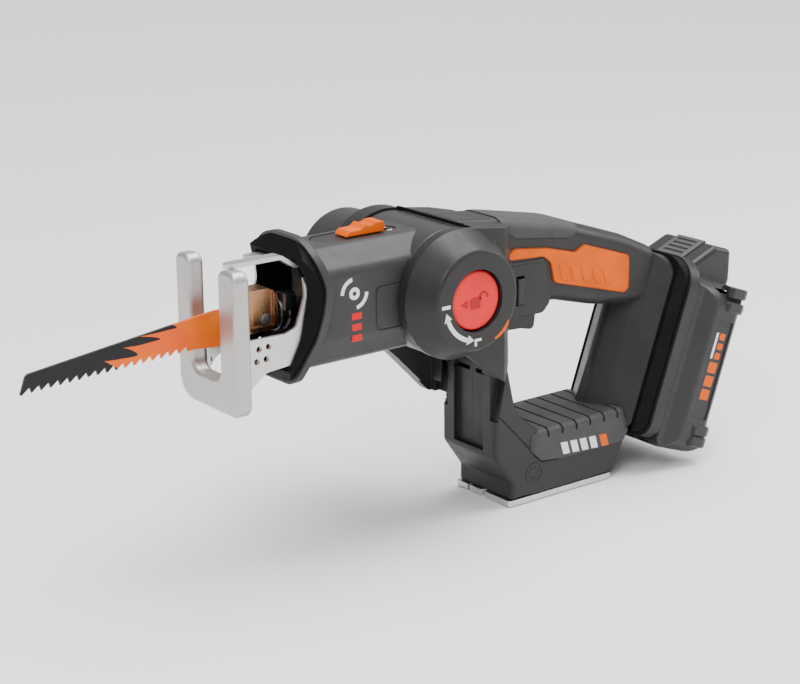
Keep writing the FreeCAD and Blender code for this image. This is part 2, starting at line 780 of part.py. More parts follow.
# ---- shoe and its bracket -----------------------------------------------------------------------
BRACKET_HALF = 22.0
BRACKET_TOP = 27.0
BRACKET_THICK = 2.0
FOOT_X = SHOE_FACE - SHOE_THICK - BRACKET_THICK
SHOE_SCREW_SPOTS = [(17.2, -10), (17.2, -24), (-17.2, -10), (-17.2, -24)]


def shoe_screw_holes():
    return [rod(1.65, FOOT_X - 1, FOOT_X + 7.1, y, z) for y, z in SHOE_SCREW_SPOTS]


def shoe():
    """Cast U-shaped shoe: the blade runs in the open slot."""
    outline = [
        (-27, SHOE_BOTTOM, 12),
        (26.5, SHOE_BOTTOM, 6),
        (26.5, LEFT_ARM_TOP, 5),
        (11, LEFT_ARM_TOP, 5),
        (11, -25.5, 6),
        (-14, -25.5, 6),
        (-14, SHOE_TOP, 4.5),
        (-27, SHOE_TOP, 4.5),
    ]
    body = front_slab(outline, SHOE_FACE - SHOE_THICK, SHOE_FACE)
    return rims(body, 2.2, SHOE_FACE - SHOE_THICK, SHOE_FACE, "X").cut(shoe_screw_holes())


def bracket_arch():
    """Folded strip inside the barrel: a top plate and two side cheeks that reach out to the shoe."""
    half, top = BRACKET_HALF, BRACKET_TOP
    outer = [(-half, -32), (half, -32), (half, 19, 5), (15.5, top, 4), (-15.5, top, 4), (-half, 19, 5)]
    half, top = half - BRACKET_THICK, top - BRACKET_THICK
    inner = [(-half, -40), (half, -40), (half, 18.2, 4), (14.6, top, 3), (-14.6, top, 3), (-half, 18.2, 4)]
    side = [
        (60, 40),
        (88, 40),
        (88, 29),
        (86.5, 12, 10),
        (92, -3, 3),
        (98, -5, 2),
        (FOOT_X + BRACKET_THICK, -5, 1),
        (FOOT_X + BRACKET_THICK, -31, 1),
        (110, -22.5, 4),
        (97, -21.5, 8),
        (88, -19.5, 4),
        (80, -14.5, 2),
        (69, -11.5, 2),
        (66, -11, 2),
        (66, 24.9),
        (60, 24.9),
    ]
    return front_slab(outer, 60, 130).cut(front_slab(inner, 50, 140)).common(side_slab(side, -40, 40))


def bracket_prongs():
    """Left prong stepping up over the left arm of the shoe, and a short flat right one."""
    step = [
        (80, 25), (88, 25, 2), (97, 30.8, 2), (127, 30.8), (127, 32.8), (96.3, 32.8, 2),
        (87.4, 27, 2), (80, 27),
    ]
    tip = plan_slab([(79, 10), (127, 10, 3.4), (127, 17, 3.4), (79, 17)], 20, 40)
    left = side_slab(step, 10, 17).common(tip)
    right = plan_slab([(80, -17), (98, -17, 3), (98, -10, 3), (80, -10)], 25, 27)
    return [left, right]


def shoe_bracket():
    """Sheet steel bracket that carries the shoe."""
    foot = front_slab([
        (-22, -5, 2), (-14.5, -5, 2), (-14.5, -31, 2), (-22, -31, 2),
    ], FOOT_X, FOOT_X + BRACKET_THICK)
    feet = [foot, foot.mirror(V(0, 0, 0), V(0, 1, 0))]
    notch = block(84, 90, -8, 8, 20, 40)
    holes = [disc(1.6, -30, 30, x, z) for x, z in ((114, -10), (108.5, -9.5), (115.5, -16), (110, -15.5))]
    return fuse(bracket_arch(), *bracket_prongs(), *feet).cut([notch] + holes + shoe_screw_holes())


def shoe_screws():
    """Four screws through the feet of the bracket into the shoe."""
    return group(*[aimed(screw(1.6, 2.6, 7, 1.6), (FOOT_X, y, z), (-1, 0, 0)) for y, z in SHOE_SCREW_SPOTS])


# ---- gear train ---------------------------------------------------------------------------------
def involute_gear(teeth, addendum, root, y0, y1, x, phase):
    """Spur gear on an axis across the saw; one tooth points along +X when phase is 0."""
    pitch = 0.5 * MODULE * teeth
    base = pitch * math.cos(PRESSURE_ANGLE)

    def involute(radius):
        roll = math.sqrt(max((radius / base) ** 2 - 1.0, 0.0))
        return roll - math.atan(roll)

    backlash = 0.05 * MODULE / pitch
    tip = pitch + addendum
    flank = [max(base, root) + (tip - max(base, root)) * k / 4 for k in range(5)]
    halves = [math.pi / (2 * teeth) - backlash + involute(pitch) - involute(r) for r in flank]
    points = []
    for tooth in range(teeth):
        middle = phase + 2 * math.pi * tooth / teeth
        sides = [(root, -halves[0])] if root < flank[0] else []
        sides += [(r, -h) for r, h in zip(flank, halves)]
        sides += [(r, h) for r, h in zip(reversed(flank), reversed(halves))]
        sides += [(root, halves[0])] if root < flank[0] else []
        points += [(x + r * math.cos(middle + a), r * math.sin(middle + a)) for r, a in sides]
    return side_slab(points, y0, y1)


GEAR_Y0, GEAR_Y1 = -14.0, -6.0
FRAME_Y0, FRAME_Y1 = -21.0, -16.0


def pinion():
    gear = involute_gear(PINION_TEETH, 0.95, 4.6, GEAR_Y0, GEAR_Y1 + 0.5, 0.0, math.pi / PINION_TEETH)
    return gear.cut(disc(2.5, -20, 0))


def crank_gear():
    gear = involute_gear(GEAR_TEETH, 0.7, 22.8, GEAR_Y0, GEAR_Y1, GEAR_CENTRE, 0.0)
    holes = []
    for number in range(6):
        angle = math.pi / 6 + number * math.pi / 3
        if abs(math.sin(angle)) < 0.9:
            holes.append(disc(3.6, -20, 0, GEAR_CENTRE + 14.5 * math.cos(angle), 14.5 * math.sin(angle)))
    return gear.cut([disc(4.0, -20, 0, GEAR_CENTRE), disc(3.0, -20, 0, GEAR_CENTRE, STROKE / 2)] + holes)


def crank_shaft():
    return fuse(disc(4.0, FRAME_Y0, GEAR_Y1, GEAR_CENTRE), disc(5.5, FRAME_Y1 + 0.3, GEAR_Y0, GEAR_CENTRE))


def crank_pin():
    return fuse(disc(3.0, GEAR_Y0, GEAR_Y1, GEAR_CENTRE, STROKE / 2),
                disc(4.4, GEAR_Y1, -5.5, GEAR_CENTRE, STROKE / 2))


def gear_frame():
    """Cast plate behind the gears, with a front block that guides the plunger and holds the bracket."""
    outline = [(-14, 12, 4), (-14, -12, 4), (-8, -16.5, 4), (62, -16.5, 4), (62, 18.5, 4), (-8, 18.5, 4)]
    plate = side_slab(outline, FRAME_Y0, FRAME_Y1)
    front = front_slab([(FRAME_Y0, -15, 2), (14, -15, 4), (14, 15, 4), (FRAME_Y0, 15, 2)], 57, 65.5)
    web = block(60, 65.5, -9, 9, 10, 25)
    bores = [disc(8.0, -30, 0, GEAR_CENTRE), disc(7.0, -30, 0), rod(8.0, 50, 80)]
    posts = [disc(5.0, -30, 30, x, z) for x, z in HEAD_SCREW_SPOTS]
    return fuse(plate, front, web).cut(bores + posts)


def plunger_bush():
    return rod(8.0, 56, 67).cut(rod(5.05, 50, 80))


# ---- motor --------------------------------------------------------------------------------------
CAN_R = 21.0
CAN_END = -62.0
CAN_FRONT = -28.0


def motor_can():
    body = disc(CAN_R, CAN_END, CAN_FRONT).cut(disc(CAN_R - 1.6, CAN_END + 1.6, CAN_FRONT - 1.6))
    body = body.cut([disc(8.0, CAN_END - 1, CAN_END + 2), disc(9.0, CAN_FRONT - 2, CAN_FRONT + 1)])
    vents = []
    for number in range(4):
        angle = math.pi / 4 + number * math.pi / 2
        vents.append(disc(2.2, -80, 0, 14.5 * math.cos(angle), 14.5 * math.sin(angle)))
    return body.cut(vents)


def motor_magnets():
    """Two half-round magnets inside the can."""
    sleeve = ring(CAN_R - 1.6, 16.2, CAN_END + 6, CAN_FRONT - 4)
    return group(*sleeve.cut([block(-3, 3, -80, 0, -30, 30)]).Solids)


def motor_end_bell():
    """Brush carrier behind the can, with the rear bearing's seat in its end."""
    return disc(18.0, -68.0, CAN_END).cut([disc(15.5, -66.0, CAN_END + 1), disc(4.0, -70, -60)])


def motor_brushes():
    return group(block(5.3, 11, -65.6, -63.2, -2.5, 2.5), block(-11, -5.3, -65.6, -63.2, -2.5, 2.5))


def shaft_bearings():
    """Sintered bushes: one for the crank shaft and two for the motor."""
    return group(
        ring(8.0, 4.03, FRAME_Y0, FRAME_Y1, GEAR_CENTRE),
        ring(7.0, 2.53, FRAME_Y0, FRAME_Y1),
        ring(4.0, 2.53, -68.0, -66.0),
    )


def rotor_shaft():
    return disc(2.5, -68.0, GEAR_Y1 + 0.5)


def armature():
    """Laminated five-pole core, with the end turns of its windings."""
    core = disc(15.2, -54, -36)
    slots = []
    for number in range(5):
        angle = 2 * math.pi * number / 5
        slots.append(block(8, 20, -60, -30, -1.2, 1.2))
        slots[-1].rotate(V(0, 0, 0), V(0, 1, 0), math.degrees(angle))
    coils = [ring(13.0, 2.5, y0, y1) for y0, y1 in ((-58, -54), (-36, -32))]
    return group(core.cut(slots + [disc(2.5, -80, 0)]), *coils)


def commutator():
    return ring(5.0, 2.5, -65.6, -60.0)


def fan():
    """Bladed disc between the motor and the gears."""
    hub = ring(19.0, 2.5, -23.2, -22.2).fuse(ring(5.5, 2.5, -26.6, -22.2))
    blades = []
    for number in range(12):
        blade = block(6, 18.5, -26.4, -23.2, -0.5, 0.5)
        blade.rotate(V(0, 0, 0), V(0, 1, 0), 30 * number)
        blades.append(blade)
    return hub.fuse(blades).removeSplitter()


# ---- plunger, clamp and blade -------------------------------------------------------------------
def yoke():
    """Slotted crosshead that the crank pin drives to and fro."""
    half = STROKE / 2 + 4.4 + 1.0
    outer = block(GEAR_CENTRE - 9.5, GEAR_CENTRE + 9.5, -4, 4, -half - 4, half + 4)
    back, front = GEAR_CENTRE - 4.6, GEAR_CENTRE + 4.6
    slot = side_slab([
        (back, -half, 4.5), (front, -half, 4.5), (front, half, 4.5), (back, half, 4.5),
    ], -8, 8)
    return outer.cut([slot, rod(5.0, GEAR_CENTRE + 6, 80)])


def plunger():
    stem = rod(5.0, GEAR_CENTRE + 6, 92)
    return soften(stem, 0.8, lambda b: b.XMin > 91.9)


CLAMP_FRONT = 110.0
CLAMP_REAR = 92.0


def clamp_body():
    """Blade holder on the end of the plunger: a block with a sloping left side and a slot for the shank."""
    rear, front = CLAMP_REAR, CLAMP_FRONT
    body = rims(side_slab([
        (rear, -7, 2), (rear, 11, 3), (rear + 4, 14, 2), (front, 14, 2), (front, -7, 2),
    ], -7, 7),
                1.0, -7, 7)
    slope = [(rear + 3, 8), (rear + 3, 5.2), (front - 4, 5.2), (front + 1, 3.4), (front + 1, 8)]
    slot = block(rear + 4, front + 1, -0.75, 0.75, -8, 8.4)
    return body.cut([plan_slab(slope, -4, 20), slot, disc(1.8, -10, 10, rear + 7, -1)])


def clamp_rivet():
    pin = disc(1.8, -8.4, 6.0, CLAMP_REAR + 7, -1)
    heads = group(disc(2.8, 5.2, 6.4, CLAMP_REAR + 7, -1), disc(2.8, -8.4, -7.0, CLAMP_REAR + 7, -1))
    return pin.fuse(heads.Solids).removeSplitter()


def clamp_lever():
    """Sprung steel collar behind the clamp, with a thumb lug."""
    collar = rod(9.2, 83.5, 91.6).cut(rod(5.2, 80, 95))
    lug = block(84.5, 91.0, 4, 11, 3, 11.5)
    lug = soften(lug, 1.6, lambda b: b.YMin > 10.9 and b.ZMin > 11.4)
    groove = rod(12, 86.6, 88.4).cut(rod(8.2, 80, 95))
    collar = collar.cut(groove.cut(block(80, 95, 3, 14, 2, 14)))
    return fuse(collar, lug.cut(rod(9.0, 80, 95)))


BLADE_ROOT = 101.2
TOOTH_PITCH = 4.9
TOOTH_DEPTH = 2.7
BLADE_HALF_THICK = 0.6


def blade():
    """Jigsaw-style blade: straight back, toothed edge, long raked tip and a shank tail in the clamp."""
    root_low, tip_low = -10.5, -14.8
    root_x, tip_x = 137.0, 230.5
    outline = [
        (tip_x, tip_low), (tip_x - 3, -6.6), (226, -5.4), (126, 6.8), (BLADE_ROOT, 7.2),
        (BLADE_ROOT, 1),
    ]
    outline += [(BLADE_ROOT + 1, -5.5), (113, -5.5), (116, -12.5), (root_x, root_low)]
    count = int((tip_x - root_x) / TOOTH_PITCH)
    step = (tip_x - root_x) / count
    for number in range(count):
        x = root_x + step * number
        low = root_low + (tip_low - root_low) * (x + step * 0.8 - root_x) / (tip_x - root_x)
        high = root_low + (tip_low - root_low) * (x + step - root_x) / (tip_x - root_x) + TOOTH_DEPTH
        outline.append((x + step * 0.8, low - 0.2))
        if number < count - 1:
            outline.append((x + step, high))
    return side_slab(outline, -BLADE_HALF_THICK, BLADE_HALF_THICK)


# ---- pivot, lock and release button -------------------------------------------------------------
def pivot_bush_left():
    return ring(26.5, 24.55, CHEEK_IN + 0.1, 31.5)


def pivot_bush_right():
    return ring(30.0, MOTOR_HOUSING_R + 0.05, CHEEK_RIGHT_FACE + 1.0, -CHEEK_IN - 0.1)


def lock_ring():
    """Notched steel ring in the left side of the drum."""
    body = ring(20.5, 10.0, DRUM_HALF - WALL, DRUM_HALF)
    notches = [lug_space(14.6, 3.4, 20, 30, quarter) for quarter in range(4)]
    return body.cut(notches)


def lug_space(reach, half_width, y0, y1, quarter):
    lug = block(0, reach, y0, y1, -half_width, half_width)
    lug.rotate(V(0, 0, 0), V(0, 1, 0), 90 * quarter)
    return lug


def lock_star():
    """Four-lugged star on a stem behind the release button."""
    star = disc(9.6, 19.0, 23.6).fuse([lug_space(14.2, 3.0, 19.0, 23.6, q) for q in range(4)])
    stem = disc(7.2, 23.0, 34.5)
    return fuse(star, stem)


def pivot_button():
    cap = disc(BUTTON_R, 41.5, 47.4)
    cap = soften(cap, 1.5, lambda b: b.YMin > 47.3)
    stem = disc(6.8, 34.5, 42.0)
    return fuse(cap, stem)


def button_spring():
    return ring(12.0, 10.4, 36.2, 41.3)


def pivot_seal():
    """Black lip where the handle meets the top of the drum."""
    lip = ring(DRUM_R + 2.2, DRUM_R + 0.5, -26.5, 26.5)
    wedge = side_slab([(0, 0), (-11, 60), (-16, 60)], -30, 30)
    return lip.common(wedge)


# ---- trigger and lock-off -----------------------------------------------------------------------
TRIGGER_TRAVEL = 6.0


def trigger():
    profile = [
        (-48.5, -15, 2),
        (-48.5, -35.5, 1.5),
        (-58, -35.8, 6),
        (-66, -36.2, 8),
        (-75, -38.5, 3),
        (-76, -30, 4),
        (-75.6, -15, 2),
    ]
    return rims(side_slab(profile, -6.8, 6.8), 1.5, -6.8, 6.8)


def lock_off_button():
    """Cross bar that blocks the trigger until it is pushed across."""
    bar = block(-57.1, -52.4, -19.4, 19.4, -18.1, -4.0)
    bar = bar.cut(block(-60, -50, -12, 12, -30, -9.0)).cut(block(-60, -50, -12, 12, -6.0, 0))
    return soften(bar, 0.8, lambda b: abs(b.YMax - b.YMin) < 1e-3 and abs(b.YMax) > 19.3)


def trigger_switch():
    return fuse(block(-92, -62.5, -8, 8, -8.6, 6), block(-108, -92, -9, 9, -12, 6))


# ---- battery and its terminals (tilted frame) ---------------------------------------------------
def terminal_block():
    body = block(-25.0, -12.0, -14, 14, -28, 0)
    slots = [block(-26, -14, y - 0.9, y + 0.9, -24, 1) for y in (-9, 0, 9)]
    return tilted(body.cut(slots))


def terminal_blades():
    return tilted(group(*[block(-31.5, -14, y - 0.4, y + 0.4, -22, -4) for y in (-9, 0, 9)]))


def mount_rails():
    """Pair of T-shaped rails on the rear of the mount that the battery hooks onto."""
    rails = []
    for side in (1, -1):
        stem = block(MOUNT_REAR - 3.0, MOUNT_REAR, side * 19 - 2.5, side * 19 + 2.5, -72, 4)
        y0, y1 = sorted((side * 16.5, side * 24.0))
        rails.append(fuse(stem, block(MOUNT_REAR - 6.0, MOUNT_REAR - 3.0, y0, y1, -72, 4)))
    return tilted(group(*rails))


PACK_SPLIT = -43.0
PACK_SCREW_Y = 33.4
PACK_SCREW_SPOTS = [(y, z) for y in (PACK_SCREW_Y, -PACK_SCREW_Y) for z in (-3.5, -76.5)]
KNUCKLES = [5.0, -3.5, -76.5, -83.0]
KNUCKLE_PROUD = 1.4


def pack_outer():
    """Battery case with a chamfered front and a raised block on top for the latch."""
    half = PACK_HALF
    plan = [
        (MOUNT_REAR - 0.5, -33, 1),
        (MOUNT_REAR - 5.0, -33.5, 5),
        (-40, -half, 8),
        (PACK_REAR, -half, 7),
        (PACK_REAR, half, 7),
        (-40, half, 8),
        (MOUNT_REAR - 5.0, 33.5, 5),
        (MOUNT_REAR - 0.5, 33, 1),
    ]
    side = [
        (MOUNT_REAR, PACK_TOP, 3),
        (-54, PACK_TOP, 3),
        (PACK_REAR, PACK_TOP - 6, 4),
        (PACK_REAR, PACK_BOTTOM + 8, 8),
        (PACK_REAR + 8, PACK_BOTTOM, 5),
        (MOUNT_REAR, PACK_BOTTOM, 8),
    ]
    front = [(-half, PACK_TOP, 15), (half, PACK_TOP, 15), (half, PACK_BOTTOM, 10), (-half, PACK_BOTTOM, 10)]
    body = plan_slab(plan, PACK_BOTTOM, PACK_TOP).common(side_slab(side, -50, 50))
    body = body.common(front_slab(front, -80, 0))
    top_front = MOUNT_REAR - 0.5
    top = [
        (top_front, 2), (top_front, 13, 3), (-43, 28, 4), (-56, 28.5, 3), (-61.5, 12, 2),
        (-61, 2),
    ]
    return fuse(body, rims(side_slab(top, -21.5, 21.5), 3.0, -21.5, 21.5))


def pack_knuckles():
    """Rounded ribs that wrap the rear edges of the battery."""
    side, rear = PACK_HALF + KNUCKLE_PROUD, PACK_REAR - KNUCKLE_PROUD
    ribs = []
    for z in KNUCKLES:
        for sign in (1, -1):
            outline = [
                (-47, sign * side, 3),
                (rear, sign * side, 7),
                (rear, sign * 22, 1),
                (-58, sign * 22, 1),
                (-56, sign * 28, 6),
                (-47, sign * 30, 1),
            ]
            ribs.append(rims(plan_slab(outline, z - 3.1, z + 3.1), 1.3, z - 3.1, z + 3.1, "Z"))
    return ribs


def battery_shells():
    wall_rear = PACK_REAR + WALL
    inside = [
        (-34, -30, 2), (-42, -34, 3), (wall_rear, -34, 5), (wall_rear, 34, 5), (-42, 34, 3),
        (-34, 30, 2),
    ]
    outer = pack_outer().fuse(pack_knuckles())
    pillars = [rod(2.3, PACK_REAR + 1, -36, y, z) for y, z in PACK_SCREW_SPOTS]
    tools = [block(-33, 0, -12, 12, -120, 2), button_space(0.35)]
    for side in (1, -1):
        y0, y1 = sorted((side * 16.0, side * 24.6))
        tools.append(block(MOUNT_REAR - 3.4, 0, side * 19 - 3, side * 19 + 3, -120, 6))
        tools.append(block(MOUNT_REAR - 6.6, MOUNT_REAR - 2.6, y0, y1, -120, 6))
        y0, y1 = sorted((side * (PACK_HALF - 0.8), side * 60.0))
        tools.append(block(-57, -44, y0, y1, -70, -12))
    tools += [rod(1.25, -70, -38, y, z) for y, z in PACK_SCREW_SPOTS]
    tools += [rod(2.4, -70, PACK_REAR + 0.2, y, z) for y, z in PACK_SCREW_SPOTS]
    body = outer.cut(plan_slab(inside, PACK_BOTTOM + 4, PACK_TOP - 4)).fuse(pillars).cut(tools)
    front = biggest(body.common(block(PACK_SPLIT, 10, -60, 60, -120, 60)))
    rear = biggest(body.common(block(-90, PACK_SPLIT, -60, 60, -120, 60)))
    return tilted(front), tilted(rear)


def button_space(gap):
    """Well of the latch button, open to the sloping front of the battery's top."""
    half = 11 + gap
    return block(-46 - gap, -28 + gap, -half, half, 11 - gap, 33)


def battery_latch():
    """Push button lying along the slope of the battery's top, with four grip grooves across it."""
    profile = [(-28.6, 14), (-28.6, 16.8, 1), (-43.2, 29.4, 2), (-45.4, 29.6, 1), (-45.4, 14)]
    cap = rims(side_slab(profile, -10.6, 10.6), 0.8, -10.6, 10.6)
    grooves = []
    for number in range(4):
        x, z = -31.6 - 3.0 * number, 19.4 + 2.6 * number
        grooves.append(disc(0.9, -7.5, 7.5, x, z))
    return tilted(cap.cut(grooves))


def battery_cells():
    """Four of the pack's round cells, lying across it one above the other."""
    cells = []
    for number in range(4):
        cell = Part.makeCylinder(9.1, 62, V(-51.2, -31, -76 + 18.8 * number), V(0, 1, 0))
        cells.append(soften(cell, 0.8, lambda b: b.YMax - b.YMin < 1e-3))
    return tilted(group(*cells))


def battery_contacts():
    """Spring clips that take the terminal blades between them."""
    clips = []
    for y in (-9, 0, 9):
        for side in (0.75, -1.55):
            clips.append(block(-33, -29.5, y + side, y + side + 0.8, -30, -12))
    return tilted(group(*clips))


def battery_screws():
    one = screw(1.2, 2.3, 23, 1.4)
    return tilted(group(*[aimed(one, (PACK_REAR + 0.2, y, z), (-1, 0, 0)) for y, z in PACK_SCREW_SPOTS]))


def handle_screws():
    return group(*[aimed(screw(1.6, 3.2, 13), (x, -10.6, z), (0, -1, 0)) for x, z in SCREW_SPOTS])


def head_screws():
    return group(*[aimed(screw(1.5, 2.8, 12), (x, -20.6, z), (0, -1, 0)) for x, z in HEAD_SCREW_SPOTS])


# ---- writing the parts --------------------------------------------------------------------------
def main():
    os.makedirs("parts", exist_ok=True)
    handle_left, handle_right = handle_shells()
    head_left, head_right = head_shells()
    battery_front, battery_rear = battery_shells()
    parts = {
        "handle_shell_left": handle_left,
        "handle_shell_right": handle_right,
        "grip_overmould": grip_overmould(),
        "grip_inserts": grip_inserts(),
        "rib_pad": rib_pad(),
        "pivot_accent": pivot_accent(),
        "mount_band": mount_band(),
        "base_plate": base_plate(),
        "base_plate_screws": base_plate_screws(),
        "handle_screws": handle_screws(),
        "pivot_bush_left": pivot_bush_left(),
        "pivot_bush_right": pivot_bush_right(),
        "pivot_seal": pivot_seal(),
        "trigger_switch": trigger_switch(),
        "terminal_block": terminal_block(),
        "terminal_blades": terminal_blades(),
        "mount_rails": mount_rails(),
        "button_spring": button_spring(),
        "head_shell_left": head_left,
        "head_shell_right": head_right,
        "motor_housing": motor_housing(),
        "selector_bezel": selector_bezel(),
        "nose_ring": nose_ring(),
        "shoe": shoe(),
        "shoe_bracket": shoe_bracket(),
        "shoe_screws": shoe_screws(),
        "head_screws": head_screws(),
        "lock_ring": lock_ring(),
        "gear_frame": gear_frame(),
        "plunger_bush": plunger_bush(),
        "motor_can": motor_can(),
        "motor_magnets": motor_magnets(),
        "motor_end_bell": motor_end_bell(),
        "motor_brushes": motor_brushes(),
        "shaft_bearings": shaft_bearings(),
        "rotor_shaft": rotor_shaft(),
        "armature": armature(),
        "commutator": commutator(),
        "fan": fan(),
        "pinion": pinion(),
        "crank_gear": crank_gear(),
        "crank_shaft": crank_shaft(),
        "crank_pin": crank_pin(),
        "yoke": yoke(),
        "plunger": plunger(),
        "clamp_body": clamp_body(),
        "clamp_rivet": clamp_rivet(),
        "clamp_lever": clamp_lever(),
        "blade": blade(),
        "lock_star": lock_star(),
        "pivot_button": pivot_button(),
        "trigger": trigger(),
        "lock_off_button": lock_off_button(),
        "orbit_slider": orbit_slider(),
        "battery_front_shell": battery_front,
        "battery_rear_shell": battery_rear,
        "battery_latch": battery_latch(),
        "battery_cells": battery_cells(),
        "battery_contacts": battery_contacts(),
        "battery_screws": battery_screws(),
    }
    for name, shape in parts.items():
        save(name, shape)


main()
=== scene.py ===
"""Looks for the cordless saw with a swinging head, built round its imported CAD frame.

Metres, in the frame of the CAD model: +X forwards (blade), +Y to the user's left, +Z up.
Most places are given in millimetres from the pivot of the head and turned into metres by at().
"""

import json
import math

import bmesh
import bpy
from mathutils import Matrix, Vector


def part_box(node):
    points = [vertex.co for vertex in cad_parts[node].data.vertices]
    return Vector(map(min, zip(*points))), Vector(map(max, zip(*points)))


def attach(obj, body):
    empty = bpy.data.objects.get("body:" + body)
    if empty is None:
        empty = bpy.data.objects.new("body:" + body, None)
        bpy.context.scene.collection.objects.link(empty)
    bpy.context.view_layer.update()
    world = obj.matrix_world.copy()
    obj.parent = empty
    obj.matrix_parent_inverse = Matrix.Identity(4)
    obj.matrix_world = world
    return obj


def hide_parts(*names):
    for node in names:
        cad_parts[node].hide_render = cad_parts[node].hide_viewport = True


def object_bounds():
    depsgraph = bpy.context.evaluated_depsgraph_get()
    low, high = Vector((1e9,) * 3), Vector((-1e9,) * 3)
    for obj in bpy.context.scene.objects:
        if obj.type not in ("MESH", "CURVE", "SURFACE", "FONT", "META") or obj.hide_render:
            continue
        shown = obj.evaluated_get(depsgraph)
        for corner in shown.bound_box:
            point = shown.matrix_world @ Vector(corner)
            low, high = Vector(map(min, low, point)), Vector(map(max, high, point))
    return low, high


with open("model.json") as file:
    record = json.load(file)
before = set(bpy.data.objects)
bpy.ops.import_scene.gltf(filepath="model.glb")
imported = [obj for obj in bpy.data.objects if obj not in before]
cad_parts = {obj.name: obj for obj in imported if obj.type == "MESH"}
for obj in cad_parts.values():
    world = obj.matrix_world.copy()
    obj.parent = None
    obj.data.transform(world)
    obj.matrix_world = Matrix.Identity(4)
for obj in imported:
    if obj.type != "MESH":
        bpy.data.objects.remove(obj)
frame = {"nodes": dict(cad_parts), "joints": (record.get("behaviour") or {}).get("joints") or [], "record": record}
CAD_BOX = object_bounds()
JOINTS = {joint["name"]: joint for joint in frame["joints"]}
SLOTS = {row["node"]: row["material_slot"] for row in frame["record"]["subparts"]}
PIVOT = Vector(JOINTS["head_pivot"]["pos_m"])
MM = 0.001

# The battery leans back: its own x runs forwards and its own z runs up the rail.
RAIL_UP = Vector(JOINTS["battery_slide"]["axis"]).normalized()
RAIL_FORWARD = Vector((RAIL_UP.z, 0.0, -RAIL_UP.x))
RAIL_ORIGIN = PIVOT + Vector((-150.0, 0.0, -20.0)) * MM

# Inside of the folded bracket, in metres, and how far forward the painted shade on its inner faces reaches.
BRACKET_INNER_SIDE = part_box("shoe_bracket")[1].y - 1.6 * MM
BRACKET_INNER_TOP = PIVOT.z + 25.4 * MM
PAINTED_SHADE_FRONT = PIVOT.x + 98 * MM

# The flames on the blade, in metres: their border runs back as it climbs, with tongues reaching forwards.
FLAME_BORDER = PIVOT.x + 140 * MM
FLAME_BORDER_HEIGHT = PIVOT.z + 5 * MM
FLAME_LEAN = 2.3
TONGUE_PITCH = 6.2 * MM
TONGUE_LENGTH = 19 * MM
TONGUES_CLIMBED = 26.0  # pitches that a tongue would rise in a metre
TONGUE_SHARPNESS = 1.6
TONGUE_WOBBLE = 1.6  # pitches, at full noise

# How far the flat sides that carry marks stand out from the middle, in millimetres.
SIDES = ((1, "left"), (-1, "right"))
BARREL_SIDE = 27.0
COLUMN_SIDE = 23.0
PACK_STRIP_SIDE = 36.2

# Heights of the marks, in millimetres.
MARK_ROOT = -0.12  # raised shapes start this far inside the surface
PRINT_HEIGHT = 0.05

# The orange crescent on the rim of the left cheek, in millimetres.
CHEEK_RIM_START = 24.46  # radius where the flat face of the cheek begins to round over
CHEEK_RIM_FILLET = 2.5
CRESCENT_INNER = 23.9
CRESCENT_WIDTHS = (0.3, 2.1)  # at its tips, and added in the middle
CRESCENT_HEIGHTS = (-0.2, 0.12)  # from inside the surface to just proud of it

# Linear colours.
ORANGE = (0.74, 0.112, 0.0004)
RUBBER = (0.029, 0.029, 0.030)


def at(x, y, z):
    """Millimetres from the pivot, in metres in the frame."""
    return PIVOT + Vector((x, y, z)) * MM


def on_rail(x, y, z):
    """Millimetres in the battery's leaning frame, in metres in the frame."""
    return RAIL_ORIGIN + (RAIL_FORWARD * x + Vector((0, 1, 0)) * y + RAIL_UP * z) * MM


